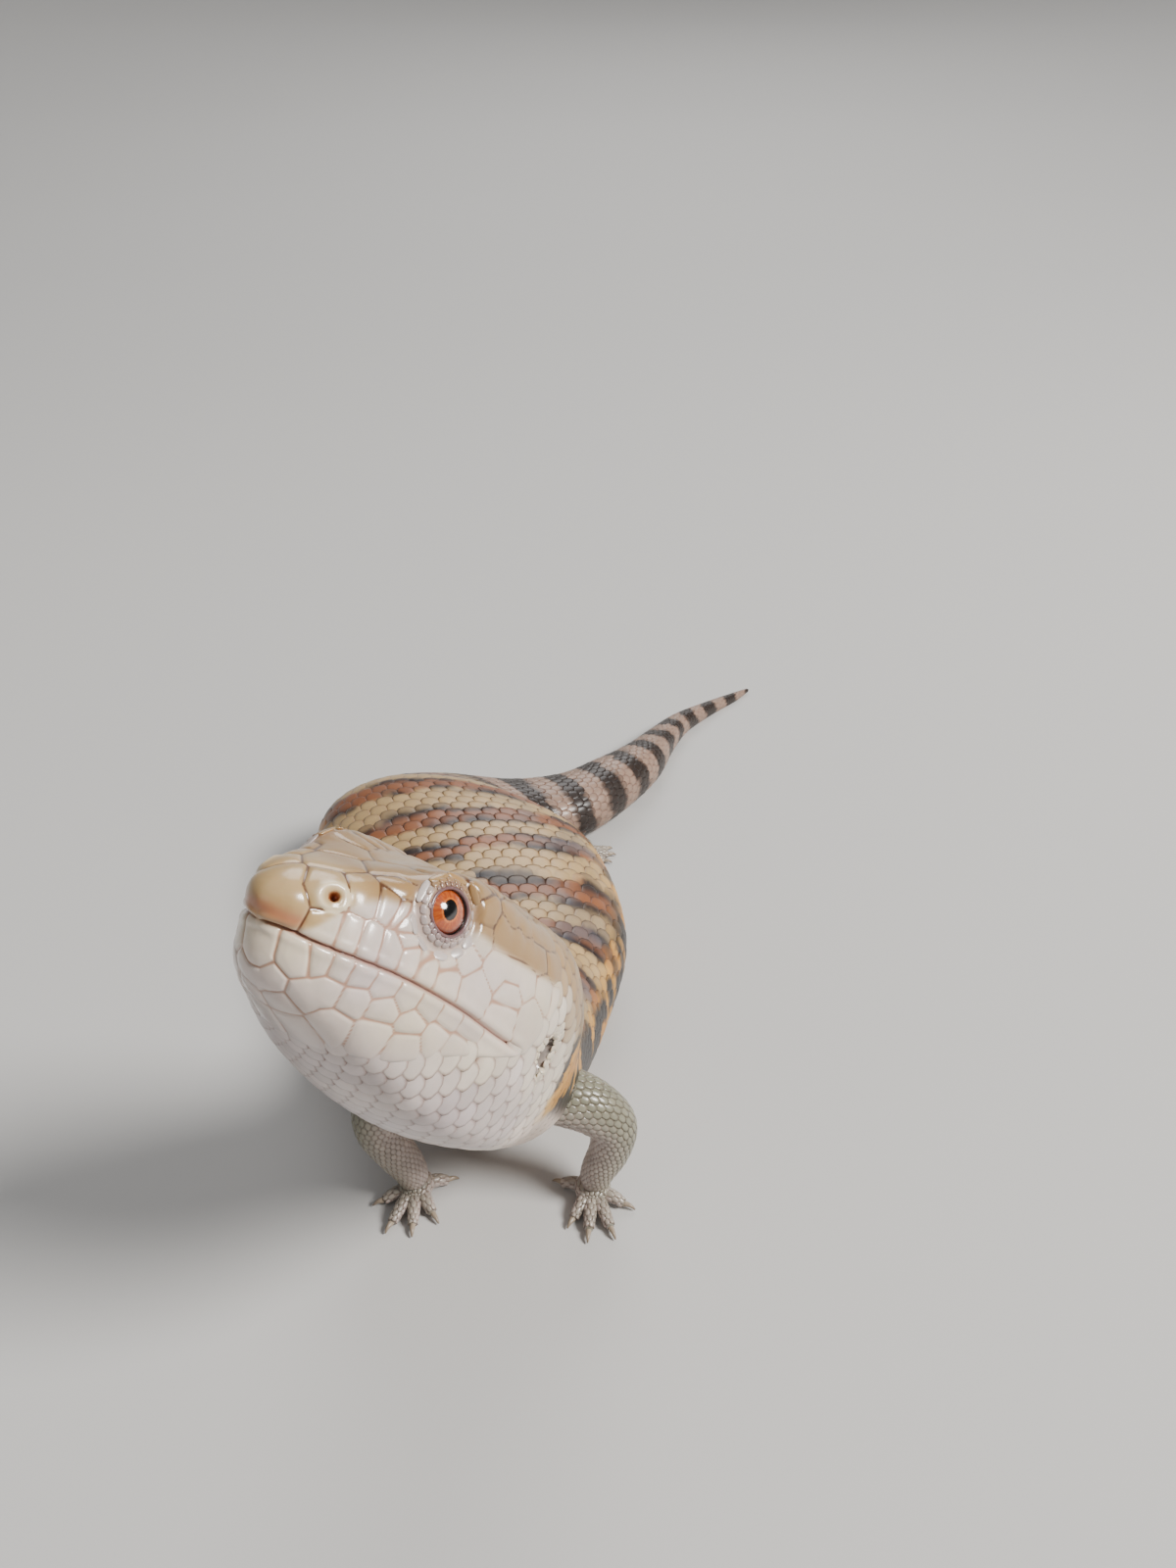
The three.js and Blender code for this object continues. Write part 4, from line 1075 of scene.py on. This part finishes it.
throat = Part()
lay_scales(throat, whole, *THROAT_STRETCH, THROAT_COLUMNS, THROAT_PITCH, throat_colors, unwrap_body,
           on_scaled_head, **THROAT_FORM)
throat.build("scales_head", head_scale_material, "head_skin")
for name, stretch in TRUNK_STRETCHES.items():
    trunk = Part()
    lay_scales(trunk, whole, *stretch, TRUNK_COLUMNS, TRUNK_PITCH, body_colors, unwrap_body, crossing=True)
    trunk.build(name, scale_material, "body_skin")
tail = Part()
for start, end, columns in TAIL_STRETCHES:
    thin = np.clip(float(BODY[3](start)) / 6, 0.25, 1)
    lay_scales(tail, whole, start, end or BODY_LENGTH - TAIL_BARE, columns, TAIL_PITCH, body_colors,
               unwrap_body, crossing=True, lift=0.2 * thin, dome=0.08 * thin, thickness=0.12 * thin,
               depth=SKIN_DEPTH * thin)
tail.build("scales_tail", scale_material, "tail_skin")


def tree_of(points, rows, columns):
    """The surface of a grid, to be searched for nearest places."""
    faces = grid_faces(rows, columns, np.zeros(columns + 1), np.zeros(rows))[0][:, ::-1]
    return BVHTree.FromPolygons([Vector(p) for p in points.reshape(-1, 3)], faces.tolist())


body_tree = tree_of(body_points, BODY_ROWS, BODY_COLUMNS)
head_tree = tree_of(head_local, HEAD_ROWS, HEAD_COLUMNS)


def off_body(surface, along, share):
    """Which places of a surface don't lie inside the body."""
    kept = []
    for p in surface.sample(along, share)[0]:
        place, normal, _, _ = body_tree.find_nearest(Vector(p))
        kept.append((Vector(p) - place).dot(normal) < 0.4)
    return np.array(kept)


def add_limb_scales(part, number, side, surface, stretch, grid, ends, columns, pitch_share, paler, form):
    """Scales on a surface of a limb, from ends[0] after its start to ends[1] before its end."""
    length = surface.along[-1]

    def place(along, share):
        return unwrap_limb(number, stretch, along / length, share)
    lay_scales(part, surface, ends[0], length - ends[1], columns, pitch_share,
               partial(limb_tint, surface, side, paler), place, partial(off_body, surface), **form)


for group in ("foreleg", "hindleg"):
    part = Part()
    for name, number, side, covers, _ in limbs:
        if name.startswith(group):
            for cover in covers:
                add_limb_scales(part, number, side, *cover)
    part.build("scales_" + group + "s", limb_material, "limb_skin")


# Claws
claws = Part()
claw_nodes = []
for name, _, _, _, toes in limbs:
    for k, (_, tip, heading) in enumerate(toes):
        steps = [(-0.25, 0.62, CLAW_ROOT * 0.9)]
        steps += [(CLAW_GAP + CLAW_LENGTH * share, height, radius) for share, height, radius in CLAW_STEPS]
        claw = tube([(*(tip + heading * d), height, radius) for d, height, radius in steps], 16, 12)
        along = np.linspace(0, 1, 16)
        color = tint(CLAW_BASE, CLAW_POINT, along[:, None] * np.ones(12))
        add_tube(claws, claw.points, 0.02 + 0.9 * np.linspace(0, 1, 13), 0.02 + 0.9 * along, color,
                 inward=True)
        claw_nodes.append("claw_%s_%d" % (foot_of(name), k + 1))
claws.build("claws", claw_material, "claw", *claw_nodes)


# Eyes and lids
def iris_colors(turn, out):
    """Colours of the eye at places turned about its gaze and this far out from it."""
    turn, out = np.broadcast_arrays(turn, out)
    pupil = np.hypot(out * np.cos(turn) / PUPIL[0], out * np.sin(turn) / PUPIL[1])
    streak = noise(turn * 14, out * 2.2) * 0.6 + noise(turn * 31, out * 5) * 0.4
    return blend_colors(plain(IRIS, out), (IRIS_STREAK, ramp(streak, 0.35, 0.4) * 0.7),
                        (IRIS_EDGE, ramp(out, 1.5, 0.4)), (PUPIL_EDGE, bell(pupil, 1.12, 0.09) * 0.6),
                        (EYE_EDGE, ramp(out, 1.85, 0.2)), (PUPIL_BLACK, ramp(pupil, 1.04, -0.06)))


def around_point(middle, normal, x, y, reach_x, reach_y, height):
    """Points about a middle, at distances along x and y and a height along the normal."""
    reach_x, reach_y, height = np.broadcast_arrays(reach_x, reach_y, height)
    return middle + x * reach_x[..., None] + y * reach_y[..., None] + normal * height[..., None]


for side, name in ((1, "eye_left"), (-1, "eye_right")):
    at, aim, along, across = side_frame(EYE_AT, GAZE, side)
    polar = np.linspace(0.01, math.radians(100), EYE_GRID[0])[:, None]
    turn = turns(EYE_GRID[1])[None]
    out = np.sin(polar) * EYE_RADIUS
    points = around_point(at, aim, along, across, out * np.cos(turn), out * np.sin(turn),
                          np.cos(polar) * EYE_RADIUS)
    eye = Part()
    add_tube(eye, from_head(points), np.linspace(0.02, 0.98, EYE_GRID[1] + 1),
             np.linspace(0.02, 0.98, EYE_GRID[0]), iris_colors(turn, out), inward=side < 0)
    eye.build(name + "_ball", eye_material, "eye", name)


def on_head_skin(guess, outside):
    """The place on the head's skin nearest to a guess, with the way out of it."""
    place, normal, _, _ = head_tree.find_nearest(Vector(guess))
    place, normal = np.array(place), unit(np.array(normal))
    return place, normal if normal @ outside > 0 else -normal


def add_bead(part, middle, normal, outwards, half_out, half_round, color, place):
    """A low round scale on the head, in the head's frame."""
    sideways = unit(np.cross(normal, outwards))
    polar = np.linspace(0.05, math.pi - 0.05, BEAD_GRID[0])[:, None]
    turn = turns(BEAD_GRID[1])[None]
    swell = np.sin(polar) ** 0.7
    points = around_point(middle, normal, np.cross(sideways, normal), sideways,
                          half_out * swell * bulge(np.cos(turn), 0.8),
                          half_round * swell * bulge(np.sin(turn), 0.8), BEAD_HEIGHT * np.cos(polar))
    add_tube(part, from_head(points), place[0] + UNWRAP_PATCH * np.linspace(0, 1, BEAD_GRID[1] + 1),
             place[1] + UNWRAP_PATCH * np.linspace(0, 1, BEAD_GRID[0]), np.broadcast_to(color, points.shape),
             inward=True)


def add_lid_edge(part, at, aim, along, across, side):
    """The rounded edge of the lids, round the eye's opening."""
    turn = np.linspace(0, 2 * math.pi, EDGE_GRID[0])[:, None]
    section = turns(EDGE_GRID[1])[None]
    reach = EYE_OPENING + 0.10 + 0.17 * np.cos(section)
    points = around_point(at, aim, along, across, LID_LENGTHENING * reach * np.cos(turn),
                          reach * np.sin(turn), LID_HEIGHT - 0.13 + 0.2 * np.sin(section))
    add_tube(part, from_head(points), np.linspace(0.02, 0.2, EDGE_GRID[1] + 1),
             np.linspace(0.02, 0.98, EDGE_GRID[0]), np.broadcast_to(LID_EDGE, points.shape), inward=side > 0)


def add_lid_scales(part, at, aim, along, across, side):
    for row, (reach, count, half_out, half_round, level, edge_share) in enumerate(LID_ROWS):
        for k in range(count):
            angle = 2 * math.pi * (k + 0.5 * (row % 2)) / count
            outwards = math.cos(angle) * along + math.sin(angle) * across
            middle, normal = on_head_skin(at + aim * (LID_HEIGHT - 0.3) + reach * outwards, aim)
            if level * outwards[2] < 0.1 * abs(level) or normal @ aim < LEAST_LID_AIM:
                continue
            color = tint(UNDER_EYE, np.array(TAN) * 1.08, ramp(middle[2], EYE_AT[2] + 1.2, 1.2))
            color = tint(color * random.normal(1, 0.03), LID_EDGE, edge_share)
            place = (0.3 + 0.1 * row + 0.05 * (side < 0), 0.02 + 0.9 * k / count)
            add_bead(part, middle + normal * 0.02, normal, outwards, half_out, half_round, color, place)


def add_ear_scales(part, side):
    """The small scales round an ear's edge."""
    out = np.array([0.0, side, 0.0])
    half = np.array([EAR_HALF[0], 0, EAR_HALF[1]])
    for k in range(EAR_SCALES):
        for distance, size in EAR_RINGS:
            turn = 2 * math.pi * k / EAR_SCALES + distance
            outwards = np.array([math.cos(turn), 0, math.sin(turn)])
            guess = EAR_AT * np.array([1, side, 1]) + outwards * (half + distance)
            middle, normal = on_head_skin(guess, out)
            color = np.array(CREAM) * random.normal(0.97, 0.03)
            place = (0.72 + 0.08 * distance + 0.03 * (side < 0), 0.02 + 0.9 * k / EAR_SCALES)
            add_bead(part, middle + normal * 0.03, normal, outwards, size, size * 1.05, color, place)


lids = Part()
for side in (1, -1):
    eye_frame = side_frame(EYE_AT, EYE_AIM, side)
    add_lid_edge(lids, *eye_frame, side)
    add_lid_scales(lids, *eye_frame, side)
    add_ear_scales(lids, side)
lids.build("eyelids", skin_material, "head_skin")

# Floor, light and camera. The floor rises far away, so that no horizon shows
FLOOR_FLAT, FLOOR_RISE = 0.6, 2.8
FLOOR_SIDES = 96
FLOOR_COLOR, FLOOR_ROUGHNESS = (0.50, 0.49, 0.475, 1), 0.8
SKY_COLOR, SKY_STRENGTH = (0.92, 0.95, 1.0, 1), 0.22
LIGHTS_AIM = Vector((0.003, -0.02, 0.02))
# Place, width, power and colour of each light
LIGHTS = {
    "key": ((0.98, -0.41, 0.98), 0.48, 38.0, (1.0, 0.98, 0.95)),
    "fill": ((-1.05, -0.86, 0.71), 0.9, 1.1, (0.95, 0.97, 1.0)),
    "ceiling": ((0, 0, 2.2), 3.0, 9.0, (0.97, 0.98, 1.0)),
    "back": ((0.15, 1.24, 1.0), 0.9, 9.0, (1.0, 1.0, 1.0))}
CAMERA_AT = (0.016, -0.150, 0.122)
CAMERA_DOWN = 30.0
FOCAL_SHARE = 1202 / 1600    # focal length as a share of the picture's long side

profile = [(FLOOR_FLAT * r, 0.0) for r in (0.25, 0.5, 0.75, 1.0)]
profile += [(FLOOR_FLAT + FLOOR_RISE * math.sin(a), FLOOR_RISE * (1 - math.cos(a)))
            for a in np.linspace(0.1, 1.5, 15)]
floor_points = [(r * math.sin(a), r * math.cos(a), z) for r, z in profile for a in turns(FLOOR_SIDES)]
floor_points.append((0, 0, 0))
floor_faces = grid_faces(len(profile), FLOOR_SIDES, np.zeros(FLOOR_SIDES + 1), np.zeros(len(profile)))[0]
middle_faces = [((k + 1) % FLOOR_SIDES, k, len(floor_points) - 1) for k in range(FLOOR_SIDES)]
floor_mesh = bpy.data.meshes.new("floor")
floor_mesh.from_pydata(floor_points, [], floor_faces.tolist() + middle_faces)
floor_mesh.polygons.foreach_set("use_smooth", [True] * len(floor_mesh.polygons))
floor_material = bpy.data.materials.new("floor")
floor_material.use_nodes = True
floor_shader = floor_material.node_tree.nodes["Principled BSDF"]
floor_shader.inputs["Base Color"].default_value = FLOOR_COLOR
floor_shader.inputs["Roughness"].default_value = FLOOR_ROUGHNESS
floor_mesh.materials.append(floor_material)
floor = add_object("floor", floor_mesh)

world = bpy.data.worlds.new("studio")
world.use_nodes = True
world.node_tree.nodes["Background"].inputs["Color"].default_value = SKY_COLOR
world.node_tree.nodes["Background"].inputs["Strength"].default_value = SKY_STRENGTH
bpy.context.scene.world = world

for name, (place, width, power, color) in LIGHTS.items():
    data = bpy.data.lights.new(name, "AREA")
    data.shape = "DISK"
    data.size, data.energy, data.color = width, power, color
    light = add_object(name, data)
    light.location = place
    light.rotation_mode = "QUATERNION"
    light.rotation_quaternion = (LIGHTS_AIM - Vector(place)).to_track_quat("-Z", "Y")
    light.visible_camera = False

camera_data = bpy.data.cameras.new("camera")
camera_data.sensor_width = 36
camera_data.lens = camera_data.sensor_width * FOCAL_SHARE
camera_data.clip_start, camera_data.clip_end = 0.005, 20
camera = add_object("camera", camera_data)
camera.location = CAMERA_AT
camera.rotation_euler = (math.radians(90 - CAMERA_DOWN), 0, 0)
bpy.context.scene.camera = camera

bpy.context.view_layer.update()
